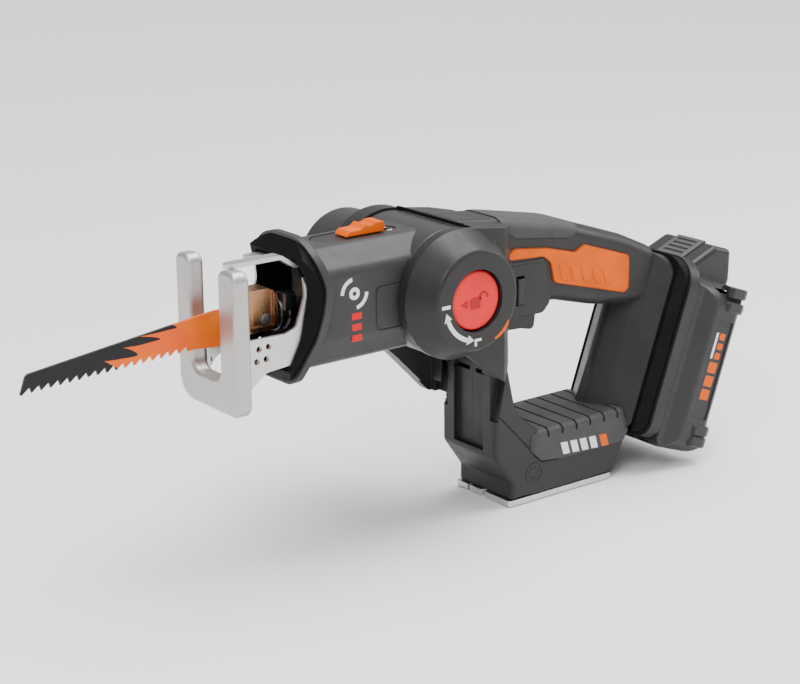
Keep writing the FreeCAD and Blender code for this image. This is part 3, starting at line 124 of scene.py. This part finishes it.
# ---- node helpers -------------------------------------------------------------------------------
class Paint:
    """One procedural material: a Principled shader and short calls for the nodes that feed it."""

    def __init__(self, name, metallic=0.0, coat=0.0, sheen=0.0, gloss=0.5):
        self.material = bpy.data.materials.new(name)
        self.material.use_nodes = True
        self.nodes = self.material.node_tree.nodes
        self.links = self.material.node_tree.links
        self.shader = self.nodes["Principled BSDF"]
        self.shader.inputs["Metallic"].default_value = metallic
        self.shader.inputs["Coat Weight"].default_value = coat
        self.shader.inputs["Sheen Weight"].default_value = sheen
        self.shader.inputs["Specular IOR Level"].default_value = gloss
        self.shader.inputs["IOR"].default_value = 1.5
        self.place = self.nodes.new("ShaderNodeTexCoord").outputs["Object"]

    def put(self, value, socket):
        """Links another node's output, or sets a constant; None leaves the socket alone."""
        if isinstance(value, bpy.types.NodeSocket):
            self.links.new(value, socket)
        elif value is not None:
            socket.default_value = value

    def stretched(self, x, y, z):
        node = self.nodes.new("ShaderNodeMapping")
        node.inputs["Scale"].default_value = (x, y, z)
        self.put(self.place, node.inputs["Vector"])
        return node.outputs["Vector"]

    def noise(self, size_mm, detail=2.0, rough=0.5, stretch=None):
        """Noise with features about size_mm across."""
        node = self.nodes.new("ShaderNodeTexNoise")
        node.inputs["Scale"].default_value = 1.0 / (size_mm * MM)
        node.inputs["Detail"].default_value = detail
        node.inputs["Roughness"].default_value = rough
        self.put(self.stretched(*stretch) if stretch else self.place, node.inputs["Vector"])
        return node.outputs["Fac"]

    def cells(self, size_mm):
        """Distance to the middle of the nearest of many cells about size_mm across."""
        node = self.nodes.new("ShaderNodeTexVoronoi")
        node.inputs["Scale"].default_value = 1.0 / (size_mm * MM)
        self.put(self.place, node.inputs["Vector"])
        return node.outputs["Distance"]

    def math(self, kind, a, b=None):
        node = self.nodes.new("ShaderNodeMath")
        node.operation = kind
        self.put(a, node.inputs[0])
        self.put(b, node.inputs[1])
        return node.outputs[0]

    def spread(self, value, low, high, to_low=0.0, to_high=1.0):
        """Maps low..high onto to_low..to_high, held at both ends."""
        node = self.nodes.new("ShaderNodeMapRange")
        self.put(value, node.inputs["Value"])
        self.put(low, node.inputs["From Min"])
        self.put(high, node.inputs["From Max"])
        self.put(to_low, node.inputs["To Min"])
        self.put(to_high, node.inputs["To Max"])
        return node.outputs["Result"]

    def blend(self, share, a, b):
        """Colour a where share is 0, colour b where it is 1."""
        node = self.nodes.new("ShaderNodeMix")
        node.data_type = "RGBA"
        self.put(share, node.inputs["Factor"])
        self.put(a, node.inputs[6])
        self.put(b, node.inputs[7])
        return node.outputs[2]

    def axis(self, name):
        """One coordinate of the place, in metres: X, Y or Z."""
        node = self.nodes.new("ShaderNodeSeparateXYZ")
        self.put(self.place, node.inputs[0])
        return node.outputs[name]

    def edges(self, radius_mm):
        """Rounded normal, and a mask that is 1 along sharp edges."""
        rounded = self.nodes.new("ShaderNodeBevel")
        rounded.samples = 4
        rounded.inputs["Radius"].default_value = radius_mm * MM
        geometry = self.nodes.new("ShaderNodeNewGeometry")
        dot = self.nodes.new("ShaderNodeVectorMath")
        dot.operation = "DOT_PRODUCT"
        self.links.new(rounded.outputs["Normal"], dot.inputs[0])
        self.links.new(geometry.outputs["Normal"], dot.inputs[1])
        return rounded.outputs["Normal"], self.spread(dot.outputs["Value"], 0.995, 0.86)

    def relief(self, height, depth_mm, normal=None):
        """Bump of depth_mm for height 0..1; returns the normal."""
        node = self.nodes.new("ShaderNodeBump")
        node.inputs["Distance"].default_value = depth_mm * MM
        self.put(height, node.inputs["Height"])
        self.put(normal, node.inputs["Normal"])
        return node.outputs["Normal"]

    def finish(self, color, roughness, normal=None):
        self.put(color, self.shader.inputs["Base Color"])
        self.put(roughness, self.shader.inputs["Roughness"])
        self.put(normal, self.shader.inputs["Normal"])
        return self.material


def shade(color, factor=1.0):
    """A colour with its alpha, darkened or lightened."""
    return (color[0] * factor, color[1] * factor, color[2] * factor, 1.0)


# ---- materials ----------------------------------------------------------------------------------
def moulded_plastic(name, color, roughness, grain_depth=0.035, wear=0.35, gloss=0.34):
    """Injection-moulded plastic: spark-eroded grain, slight mottling and rubbed, greyer edges."""
    paint = Paint(name, gloss=gloss)
    rounded, edge = paint.edges(0.7)
    mottle = paint.noise(24, 3)
    grain = paint.noise(0.45, 2, 0.6)
    base = paint.blend(paint.spread(mottle, 0.35, 0.65), shade(color, 0.9), shade(color, 1.1))
    speck = paint.blend(paint.spread(grain, 0.4, 0.7, 0.0, 0.6), base, shade(color, 1.45))
    rub = paint.math("MULTIPLY", edge, paint.spread(paint.noise(5, 3), 0.35, 0.7, 0.0, wear))
    greyer = shade([0.8 * c + 0.045 for c in color])
    color_out = paint.blend(rub, speck, greyer)
    rough = paint.spread(paint.noise(12, 2), 0.3, 0.7, roughness - 0.06, roughness + 0.06)
    return paint.finish(color_out, rough, paint.relief(grain, grain_depth, rounded))


def soft_rubber(name, color, roughness, soft_mm=0.6, gloss=0.45, sheen=0.04, rim=None, rim_share=0.25):
    """Overmoulded rubber: dull, with fine pores, patches of dust, and edges paler or in a given colour."""
    paint = Paint(name, sheen=sheen, gloss=gloss)
    rounded, edge = paint.edges(soft_mm)
    dust = paint.spread(paint.noise(9, 4, 0.65), 0.45, 0.75, 0.0, 0.35)
    base = paint.blend(dust, shade(color), shade([c + 0.006 for c in color], 1.1))
    rim = rim or [1.2 * c + 0.0144 for c in color]
    color_out = paint.blend(paint.math("MULTIPLY", edge, rim_share), base, shade(rim))
    pores = paint.noise(0.3, 2, 0.6)
    rough = paint.spread(paint.noise(7, 2), 0.3, 0.7, roughness - 0.07, roughness + 0.07)
    return paint.finish(color_out, rough, paint.relief(pores, 0.02, rounded))


def satin_plastic(name, color, roughness, deep=0.82, soft_mm=0.5, gloss=0.25, rim=None, rim_share=0.22):
    """Coloured satin plastic: fine grain, uneven depth of colour, and edges paler or in a given colour."""
    paint = Paint(name, coat=0.02, gloss=gloss)
    rounded, edge = paint.edges(soft_mm)
    mottle = paint.spread(paint.noise(15, 3), 0.3, 0.7)
    base = paint.blend(mottle, shade(color, deep), shade(color, 1.05))
    rim = rim or [0.9 * c + 0.03 for c in color]
    color_out = paint.blend(paint.math("MULTIPLY", edge, rim_share), base, shade(rim))
    grain = paint.noise(0.35, 2, 0.55)
    rough = paint.spread(paint.noise(6, 3), 0.3, 0.7, roughness - 0.06, roughness + 0.08)
    return paint.finish(color_out, rough, paint.relief(grain, 0.014, rounded))


def cast_metal(name, color, roughness, metallic):
    """Shot-blasted casting: orange-peel surface, tiny pits and brighter rubbed edges."""
    paint = Paint(name, metallic=metallic)
    rounded, edge = paint.edges(0.8)
    peel = paint.noise(0.9, 3, 0.6)
    pits = paint.spread(paint.cells(1.4), 0.0, 0.18)
    stain = paint.spread(paint.noise(13, 4, 0.6), 0.35, 0.7, 0.0, 0.6)
    base = paint.blend(stain, shade(color), shade(color, 0.86))
    color_out = paint.blend(paint.math("MULTIPLY", edge, 0.5), base, shade(color, 1.15))
    height = paint.math("ADD", paint.math("MULTIPLY", peel, 0.8), paint.math("MULTIPLY", pits, 0.25))
    rough = paint.spread(peel, 0.3, 0.7, roughness - 0.08, roughness + 0.1)
    return paint.finish(color_out, rough, paint.relief(height, 0.06, rounded))


def worked_steel(name, color, roughness=0.3, along=(1, 18, 18), soft_mm=0.35, stain_share=0.25):
    """Rolled, ground or brushed metal: fine lines, squeezed by along on each axis, and a stain."""
    paint = Paint(name, metallic=1.0)
    rounded, edge = paint.edges(soft_mm)
    lines = paint.noise(2.4, 3, 0.6, along)
    stain = paint.spread(paint.noise(11, 4, 0.6), 0.4, 0.75, 0.0, stain_share)
    base = paint.blend(paint.spread(lines, 0.3, 0.7), shade(color, 0.86), shade(color, 1.08))
    dull = paint.blend(stain, base, shade(color, 0.62))
    color_out = paint.blend(paint.math("MULTIPLY", edge, 0.4), dull, shade(color, 1.25))
    rough = paint.spread(lines, 0.25, 0.75, roughness - 0.08, roughness + 0.12)
    return paint.finish(color_out, rough, paint.relief(lines, 0.012, rounded))


def bracket_steel(name, color):
    """Brushed steel outside. Inside, towards the mouth of the head, it has painted shade: its inner faces between
    the plates are coloured near-black where shade falls.
    """
    paint = Paint(name, metallic=0.9)
    rounded, edge = paint.edges(0.35)
    lines = paint.noise(2.4, 3, 0.6, (1, 18, 18))
    base = paint.blend(paint.spread(lines, 0.3, 0.7), shade(color, 0.86), shade(color, 1.06))
    bright = paint.blend(paint.math("MULTIPLY", edge, 0.4), base, shade(color, 1.2))
    # painted shade: near-black colour, and raised roughness, on the inner faces between the plates, under the top
    # and behind the mouth, where shade falls
    soft = 0.2 * MM
    off_middle = paint.math("ABSOLUTE", paint.axis("Y"))
    between = paint.spread(off_middle, BRACKET_INNER_SIDE + soft, BRACKET_INNER_SIDE - soft)
    under = paint.spread(paint.axis("Z"), BRACKET_INNER_TOP + soft, BRACKET_INNER_TOP - soft)
    behind = paint.spread(paint.axis("X"), PAINTED_SHADE_FRONT + 8 * MM, PAINTED_SHADE_FRONT)
    painted_shade = paint.math("MULTIPLY", paint.math("MULTIPLY", between, under), behind)
    color_out = paint.blend(painted_shade, bright, shade((0.012, 0.011, 0.010)))
    rough = paint.spread(lines, 0.25, 0.75, 0.26, 0.42)
    rough = paint.spread(painted_shade, 0, 1, rough, 0.75)
    return paint.finish(color_out, rough, paint.relief(lines, 0.012, rounded))


def printed_ink(name, color):
    """Pad-printed ink: a little uneven, with the plastic's grain showing through."""
    paint = Paint(name, gloss=0.15)
    patch = paint.spread(paint.noise(1.2, 3), 0.3, 0.75)
    grain = paint.noise(0.4, 2)
    color_out = paint.blend(patch, shade(color, 0.9), shade(color))
    rough = paint.spread(grain, 0.3, 0.7, 0.42, 0.58)
    return paint.finish(color_out, rough, paint.relief(grain, 0.015))


def printed_blade(name):
    """Blade in black, with flames in orange towards the shank, and bright edges and teeth."""
    paint = Paint(name, metallic=0.2, gloss=0.3)
    rounded, edge = paint.edges(0.2)
    along, up = paint.axis("X"), paint.axis("Z")
    lick = paint.noise(15, 1, 0.4, (0.5, 1.0, 1.0))
    climbed = paint.math("MULTIPLY", along, -TONGUES_CLIMBED)
    phase = paint.math("ADD", paint.math("MULTIPLY", up, 1 / TONGUE_PITCH), climbed)
    phase = paint.math("ADD", phase, paint.math("MULTIPLY", lick, TONGUE_WOBBLE))
    wave = paint.math("MULTIPLY", paint.math("PINGPONG", phase, 0.5), 2.0)
    tongue = paint.math("POWER", wave, TONGUE_SHARPNESS)
    lean = paint.math("MULTIPLY", paint.math("SUBTRACT", up, FLAME_BORDER_HEIGHT), FLAME_LEAN)
    ahead = paint.math("MULTIPLY", tongue, TONGUE_LENGTH)
    reach = paint.math("SUBTRACT", paint.math("ADD", along, lean), ahead)
    printed = paint.spread(reach, FLAME_BORDER + 0.3 * MM, FLAME_BORDER - 0.3 * MM)
    shimmer = paint.noise(2.0, 3, 0.6, (1, 1, 12))
    blacks = shade((0.004, 0.004, 0.004)), shade((0.010, 0.010, 0.011))
    oranges = shade((0.76, 0.095, 0.0004)), shade((0.76, 0.15, 0.0006))
    black = paint.blend(paint.spread(shimmer, 0.3, 0.7), *blacks)
    orange = paint.blend(paint.spread(lick, 0.4, 0.6), *oranges)
    face = paint.blend(printed, black, orange)
    color_out = paint.blend(paint.math("MULTIPLY", edge, 0.5), face, shade((0.45, 0.44, 0.42)))
    rough = paint.spread(shimmer, 0.3, 0.7, 0.3, 0.45)
    return paint.finish(color_out, rough, paint.relief(shimmer, 0.008, rounded))


def make_materials():
    """One material for each slot of the record, and three for nodes that look unlike their slot."""
    made = {
        "housing": moulded_plastic("housing", (0.0175, 0.0165, 0.0158), 0.42, gloss=0.28),
        "head_housing": moulded_plastic("head_housing", (0.028, 0.027, 0.027), 0.40, gloss=0.3),
        "soft_rubber": soft_rubber("soft_rubber", RUBBER, 0.6),
        "black_rubber": soft_rubber("black_rubber", (0.003, 0.003, 0.003), 0.66, gloss=0.12, sheen=0.0),
        "orange_plastic": satin_plastic("orange_plastic", ORANGE, 0.45, gloss=0.1),
        "red_plastic": satin_plastic("red_plastic", (0.78, 0.012, 0.014), 0.36),
        "black_plastic": moulded_plastic("black_plastic", (0.016, 0.0155, 0.015), 0.4, wear=0.2),
        "battery_plastic": moulded_plastic("battery_plastic", (0.018, 0.018, 0.0195), 0.36, 0.03, gloss=0.3),
        "latch_plastic": moulded_plastic("latch_plastic", (0.055, 0.056, 0.058), 0.45),
        "nylon": satin_plastic("nylon", (0.55, 0.53, 0.48), 0.5, 0.92),
        "plate_steel": worked_steel("plate_steel", (0.62, 0.62, 0.63)),
        "cast_aluminium": cast_metal("cast_aluminium", (0.50, 0.48, 0.465), 0.42, 0.85),
        "screw_steel": worked_steel("screw_steel", (0.42, 0.42, 0.43), along=(6, 6, 6)),
        "gear_steel": worked_steel("gear_steel", (0.34, 0.34, 0.35), along=(5, 1, 5)),
        "motor_steel": worked_steel("motor_steel", (0.42, 0.42, 0.41), 0.35, (6, 1, 6)),
        "lever_steel": worked_steel("lever_steel", (0.22, 0.22, 0.23), along=(12, 2, 2)),
        "spring_steel": worked_steel("spring_steel", (0.40, 0.40, 0.40), along=(2, 12, 2)),
        "magnet": cast_metal("magnet", (0.06, 0.06, 0.065), 0.6, 0.3),
        "bronze": worked_steel("bronze", (0.42, 0.27, 0.12), 0.4, (3, 3, 3)),
        "contact_brass": worked_steel("contact_brass", (0.60, 0.46, 0.22), 0.26, (2, 2, 10)),
        "zinc_copper": worked_steel("zinc_copper", (0.40, 0.21, 0.11), 0.3, (3, 3, 3), 0.6, 0.8),
        "blade_steel": printed_blade("blade_steel"),
        "cell_sleeve": satin_plastic("cell_sleeve", (0.05, 0.18, 0.14), 0.3),
    }
    own = {
        "shoe_bracket": bracket_steel("bracket_steel", (0.60, 0.59, 0.58)),
        "grip_inserts": satin_plastic("insert_plastic", ORANGE, 0.45, soft_mm=1.3, gloss=0.1,
                                      rim=(0.006, 0.004, 0.003), rim_share=1.0),
        "grip_overmould": soft_rubber("grip_rubber", RUBBER, 0.6, soft_mm=1.2,
                                      rim=(0.002, 0.002, 0.002), rim_share=1.0),
    }
    for node, slot in SLOTS.items():
        mesh = frame["nodes"][node].data
        mesh.materials.clear()
        mesh.materials.append(own.get(node, made[slot]))
    return made


MATERIALS = make_materials()
INK_WHITE = printed_ink("ink_white", (0.80, 0.80, 0.79))
INK_RED = printed_ink("ink_red", (0.70, 0.010, 0.014))
DEEP_RED = satin_plastic("deep_red", (0.42, 0.006, 0.008), 0.4)
INK_ORANGE = printed_ink("ink_orange", (0.74, 0.11, 0.0006))


# ---- small raised pieces ------------------------------------------------------------------------
def finished_piece(name, shape, material, body):
    """Turns a bmesh into a piece that rides a body."""
    bmesh.ops.recalc_face_normals(shape, faces=shape.faces)
    mesh = bpy.data.meshes.new(name)
    shape.to_mesh(mesh)
    shape.free()
    mesh.materials.append(material)
    piece = bpy.data.objects.new(name, mesh)
    bpy.context.scene.collection.objects.link(piece)
    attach(piece, body)
    return piece


def wall(shape, low, high):
    """Faces between two closed rows of vertices."""
    for k in range(len(low)):
        following = (k + 1) % len(low)
        shape.faces.new((low[k], low[following], high[following], high[k]))


def turn_mm(radius, degrees, middle=(0.0, 0.0)):
    """The point at a radius and an angle round middle."""
    angle = math.radians(degrees)
    return middle[0] + radius * math.cos(angle), middle[1] + radius * math.sin(angle)


def arc_band(inner, outer, start, end, middle=(0.0, 0.0), steps=24):
    """Outline of a strip of a ring, between two angles in degrees."""
    angles = [start + (end - start) * k / steps for k in range(steps + 1)]
    there = [turn_mm(outer, a, middle) for a in angles]
    back = [turn_mm(inner, a, middle) for a in reversed(angles)]
    return there + back


def arrowhead(radius, at_angle, points_to, half_width):
    """Triangle across a strip at one angle, with its tip at another."""
    return [
        turn_mm(radius - half_width, at_angle),
        turn_mm(radius + half_width, at_angle),
        turn_mm(radius, points_to),
    ]


def bar(u0, u1, v0, v1, slant=0.0, corner=0.0):
    """Upright bar, leaning by slant across its height, with cut corners."""
    tilt = slant / (v1 - v0)
    points = [(u0 + corner, v0), (u1 - corner, v0), (u1, v0 + corner), (u1, v1 - corner)]
    points += [(u1 - corner, v1), (u0 + corner, v1), (u0, v1 - corner), (u0, v0 + corner)]
    return [(u + (v - v0) * tilt, v) for u, v in points]


def drawn_in(points, inset):
    """An outline, counter-clockwise, moved inwards by inset."""
    if not inset:
        return points
    moved = []
    for before, here, after in zip(points[-1:] + points[:-1], points, points[1:] + points[:1]):
        first = Vector((here[0] - before[0], here[1] - before[1])).normalized()
        second = Vector((after[0] - here[0], after[1] - here[1])).normalized()
        normal = Vector((-first.y - second.y, first.x + second.x))
        reach = inset / max(0.35, math.sqrt(max(0.0, (1 + first.dot(second)) / 2)))
        normal = normal.normalized() * reach if normal.length > 1e-9 else Vector((0, 0))
        moved.append((here[0] + normal.x, here[1] + normal.y))
    return moved


def raised(name, outlines, place, height, material, body, ease=0.0):
    """Flat shapes standing height mm out of a surface; place(u, v, h) gives a point in metres.

    Each outline is a closed list of (u, v) in millimetres.  ease bevels the top edge by that much.
    """
    shape = bmesh.new()
    for outline in outlines:
        area = sum(a[0] * b[1] - b[0] * a[1] for a, b in zip(outline, outline[1:] + outline[:1]))
        points = outline if area > 0 else outline[::-1]
        levels = [MARK_ROOT, height - ease, height] if ease else [MARK_ROOT, height]
        loops = []
        for level in levels:
            inset = ease if ease and level == height else 0.0
            loops.append([shape.verts.new(place(u, v, level)) for u, v in drawn_in(points, inset)])
        for low, high in zip(loops, loops[1:]):
            wall(shape, low, high)
        shape.faces.new(loops[-1])
        shape.faces.new(loops[0][::-1])
    return finished_piece(name, shape, material, body)


def side_place(node, side):
    """place() for the flat left (side 1) or right (side -1) face of a node: u runs along X, v up."""
    low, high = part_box(node)
    face = high.y if side > 0 else low.y

    def place(u, v, h):
        point = at(u, 0, v)
        point.y = face + side * h * MM
        return point

    return place


def flank_place(face, side):
    """The same, for a side face that lies face millimetres out from the middle."""
    return lambda u, v, h: at(u, side * (face + h), v)


def tilted(place, middle, slope):
    """place() with v rising by slope for each millimetre of u past middle."""
    return lambda u, v, h: place(u, v + (u - middle) * slope, h)


def cheek_marks():
    """Printed on the left cheek: a dash, a two-ended arrow round the button and a small corner."""
    radius = 20.4
    place = side_place("handle_shell_left", 1)
    shapes = [bar(17.6, 23.0, -0.9, 0.9), arc_band(radius - 1.2, radius + 1.2, -20, -72)]
    shapes += [arrowhead(radius, -21, -9, 2.5), arrowhead(radius, -71, -83, 2.5)]
    shapes += [bar(0.6, 2.0, -23.4, -19.6), bar(-2.4, 0.6, -21.0, -19.6)]
    raised("cheek_marks", shapes, place, PRINT_HEIGHT, INK_WHITE, "handle")


def barrel_marks():
    """Printed on both sides of the barrel: two arcs round a dot, over three plain bars."""
    for side, word in SIDES:
        place = flank_place(BARREL_SIDE, side)
        middle = (60.5, 9.7)
        shapes = [arc_band(6.4, 8.4, 2, 80, middle), arc_band(6.4, 8.4, 182, 260, middle)]
        shapes.append(arc_band(1.2, 3.2, 0, 359.9, middle))
        raised("barrel_arcs_" + word, shapes, place, PRINT_HEIGHT, INK_WHITE, "head")
        bars = [bar(56.3, 62.3, z - 1.7, z + 1.7, 0.0, 0.3) for z in (-2.0, -7.6, -13.2)]
        raised("barrel_bars_" + word, bars, place, PRINT_HEIGHT, INK_RED, "head")


def button_icon():
    """Raised on the release button: an open padlock and an arrow."""
    place = side_place("pivot_button", 1)
    shapes = [bar(-2.8, 3.4, -4.2, 1.4, 0.0, 0.7), arc_band(2.0, 3.1, 10, 190, (-5.2, 1.0), 20)]
    shapes += [bar(-3.4, -2.1, 0.0, 1.4), [(5.2, -3.4), (9.4, -1.2), (5.2, 1.0)]]
    raised("button_icon", shapes, place, 0.4, DEEP_RED, "release_button", 0.2)


def pad_marks():
    """Plain slanted stripes on both flanks of the lower block."""
    for side, word in SIDES:
        place = tilted(side_place("rib_pad", side), -76.0, 0.06)
        white = [bar(u - 2.4, u + 2.4, -106.6, -99.6, 2.2) for u in (-84, -91, -98, -105)]
        raised("block_stripes_" + word, white, place, PRINT_HEIGHT, INK_WHITE, "handle")
        orange = [bar(-115.6, -110.4, -106.6, -99.6, 2.2)]
        name = "block_stripe_orange_" + word
        raised(name, orange, place, PRINT_HEIGHT, INK_ORANGE, "handle")


def grip_bars():
    """Raised slanted bars on both orange panels of the grip."""
    material = MATERIALS["orange_plastic"]
    for side, word in SIDES:
        place = tilted(side_place("grip_inserts", side), -103.0, 0.217)
        shapes = [bar(u - 2.6, u + 2.6, -13.6, -5.2, 2.4, 0.5) for u in (-87, -95, -103, -111, -119)]
        raised("grip_bars_" + word, shapes, place, 0.45, material, "handle", 0.25)


def pack_marks():
    """Plain bars, orange and white, on the sunk strip of each side of the battery."""
    for side, word in SIDES:

        def place(u, v, h, side=side):
            return on_rail(u, side * (PACK_STRIP_SIDE + h), v)

        orange = [bar(-54.2, -47.2, z - 3.1, z + 3.1, 0.0, 0.4) for z in (-55.5, -47.5, -39.5)]
        orange += [bar(-54.2, -49.8, z - 1.9, z + 1.9, 0.0, 0.4) for z in (-32.5, -26.8, -21.1)]
        raised("pack_bars_" + word, orange, place, 0.06, INK_ORANGE, "battery")
        white = [bar(-48.4, -46.6, -34.5, -19.2, 0.0, 0.3)]
        raised("pack_line_" + word, white, place, 0.06, INK_WHITE, "battery")


def block_emblem():
    """Embossed ring with eight spokes low on the left side of the column."""
    middle = (-61.5, -113.7)
    place = flank_place(COLUMN_SIDE, 1)
    shapes = [arc_band(5.2, 6.0, 0, 359.9, middle, 40)]
    for number in range(8):
        angle = 22.5 + 45 * number
        shapes.append(arc_band(2.4, 4.0, angle - 7, angle + 7, middle, 3))
    raised("block_emblem", shapes, place, 0.25, MATERIALS["housing"], "handle", 0.12)


def selector_mark():
    """Printed behind the slider: a short wave made of two arcs."""
    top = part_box("selector_bezel")[1].z

    def place(u, v, h):
        point = at(u, v, 0)
        point.z = top + h * MM
        return point

    shapes = [arc_band(1.1, 1.9, 20, 160, (20.6, 2.2), 10)]
    shapes.append(arc_band(1.1, 1.9, 200, 340, (20.6, -1.2), 10))
    raised("selector_mark", shapes, place, PRINT_HEIGHT, INK_WHITE, "head")


def cheek_accent():
    """Orange crescent let into the rounded rim of the left cheek, low at the rear."""
    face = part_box("handle_shell_left")[1].y
    start, sweep = -147, 30
    steps, rows = 24, 5
    tip, swell = CRESCENT_WIDTHS

    def on_rim(radius, degrees, lift):
        lean = math.asin(max(0.0, min(0.95, (radius - CHEEK_RIM_START) / CHEEK_RIM_FILLET)))
        u, v = turn_mm(radius + lift * math.sin(lean), degrees)
        point = at(u, 0, v)
        point.y = face + (CHEEK_RIM_FILLET * (math.cos(lean) - 1) + lift * math.cos(lean)) * MM
        return point

    shape = bmesh.new()
    borders = []
    for lift in CRESCENT_HEIGHTS:
        grid = []
        for k in range(steps + 1):
            width = tip + swell * math.sin(math.pi * k / steps) ** 0.6
            angle = start + sweep * k / steps
            radii = [CRESCENT_INNER + width * j / rows for j in range(rows + 1)]
            grid.append([shape.verts.new(on_rim(radius, angle, lift)) for radius in radii])
        for here, there in zip(grid, grid[1:]):
            for j in range(rows):
                shape.faces.new((here[j], there[j], there[j + 1], here[j + 1]))
        inner = [row[0] for row in grid]
        outer = [row[-1] for row in grid[-2::-1]]
        borders.append(inner + grid[-1][1:] + outer + grid[0][-2:0:-1])
    wall(shape, *borders)
    orange = MATERIALS["orange_plastic"]
    piece = finished_piece("cheek_accent", shape, orange, "handle")
    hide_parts("pivot_accent")


cheek_marks()
cheek_accent()
barrel_marks()
button_icon()
pad_marks()
grip_bars()
pack_marks()
block_emblem()
selector_mark()


# ---- studio -------------------------------------------------------------------------------------
def make_floor():
    """Pale sheet just under the tool."""
    reach = 6.0
    corners = [(-reach, -reach, 0), (reach, -reach, 0), (reach, reach, 0), (-reach, reach, 0)]
    mesh = bpy.data.meshes.new("floor")
    mesh.from_pydata(corners, [], [(0, 1, 2, 3)])
    floor = bpy.data.objects.new("floor", mesh)
    floor.location.z = CAD_BOX[0].z - 0.4 * MM
    bpy.context.scene.collection.objects.link(floor)
    paint = Paint("studio_floor")
    mottle = paint.blend(paint.noise(400, 2), shade((0.86, 0.86, 0.86)), shade((0.88, 0.88, 0.88)))
    mesh.materials.append(paint.finish(mottle, 0.8))


def area_light(name, place, target, size, power):
    """Square lamp aimed at a target, in metres and watts."""
    light = bpy.data.lights.new(name, "AREA")
    light.shape = "SQUARE"
    light.size = size
    light.energy = power
    lamp = bpy.data.objects.new(name, light)
    lamp.location = place
    lamp.rotation_euler = (Vector(target) - Vector(place)).to_track_quat("-Z", "Y").to_euler()
    bpy.context.scene.collection.objects.link(lamp)


def make_lights():
    """Three soft lamps, a wide overhead sun and a white surround."""
    middle = (0.09, 0.0, 0.1)
    area_light("key", (0.85, 0.65, 1.1), middle, 0.7, 11)
    area_light("top", (-0.15, 0.25, 1.5), middle, 0.9, 13)
    area_light("rim", (-1.1, 0.4, 0.7), middle, 0.6, 7)
    sun = bpy.data.lights.new("overhead", "SUN")
    sun.energy = 3.4
    sun.angle = math.radians(50)
    lamp = bpy.data.objects.new("overhead", sun)
    lamp.rotation_euler = Vector((-0.4, -0.1, 1.0)).to_track_quat("Z", "Y").to_euler()
    bpy.context.scene.collection.objects.link(lamp)
    world = bpy.data.worlds.new("studio")
    world.use_nodes = True
    world.node_tree.nodes["Background"].inputs["Color"].default_value = (1, 1, 1, 1)
    world.node_tree.nodes["Background"].inputs["Strength"].default_value = 0.6
    bpy.context.scene.world = world


def make_camera():
    """Camera to the left of the nose and a little above, tilted by half a degree."""
    turn, lift, roll = 0.92094, 0.29014, 0.0095
    aim, distance = at(12.16, 0.0, -30.46), 1.04384
    back = Vector((math.cos(lift) * math.cos(turn), math.cos(lift) * math.sin(turn), math.sin(lift)))
    right = Vector((-math.sin(turn), math.cos(turn), 0.0))
    up = back.cross(right)
    spin = Matrix.Rotation(-roll, 3, "Z")
    facing = Matrix((right, up, back)).transposed() @ spin
    data = bpy.data.cameras.new("camera")
    data.sensor_width = 36.0
    data.lens = 90.0
    data.clip_start = 0.05
    camera = bpy.data.objects.new("camera", data)
    camera.matrix_world = Matrix.Translation(aim + back * distance) @ facing.to_4x4()
    bpy.context.scene.collection.objects.link(camera)
    bpy.context.scene.camera = camera


make_floor()
make_lights()
make_camera()
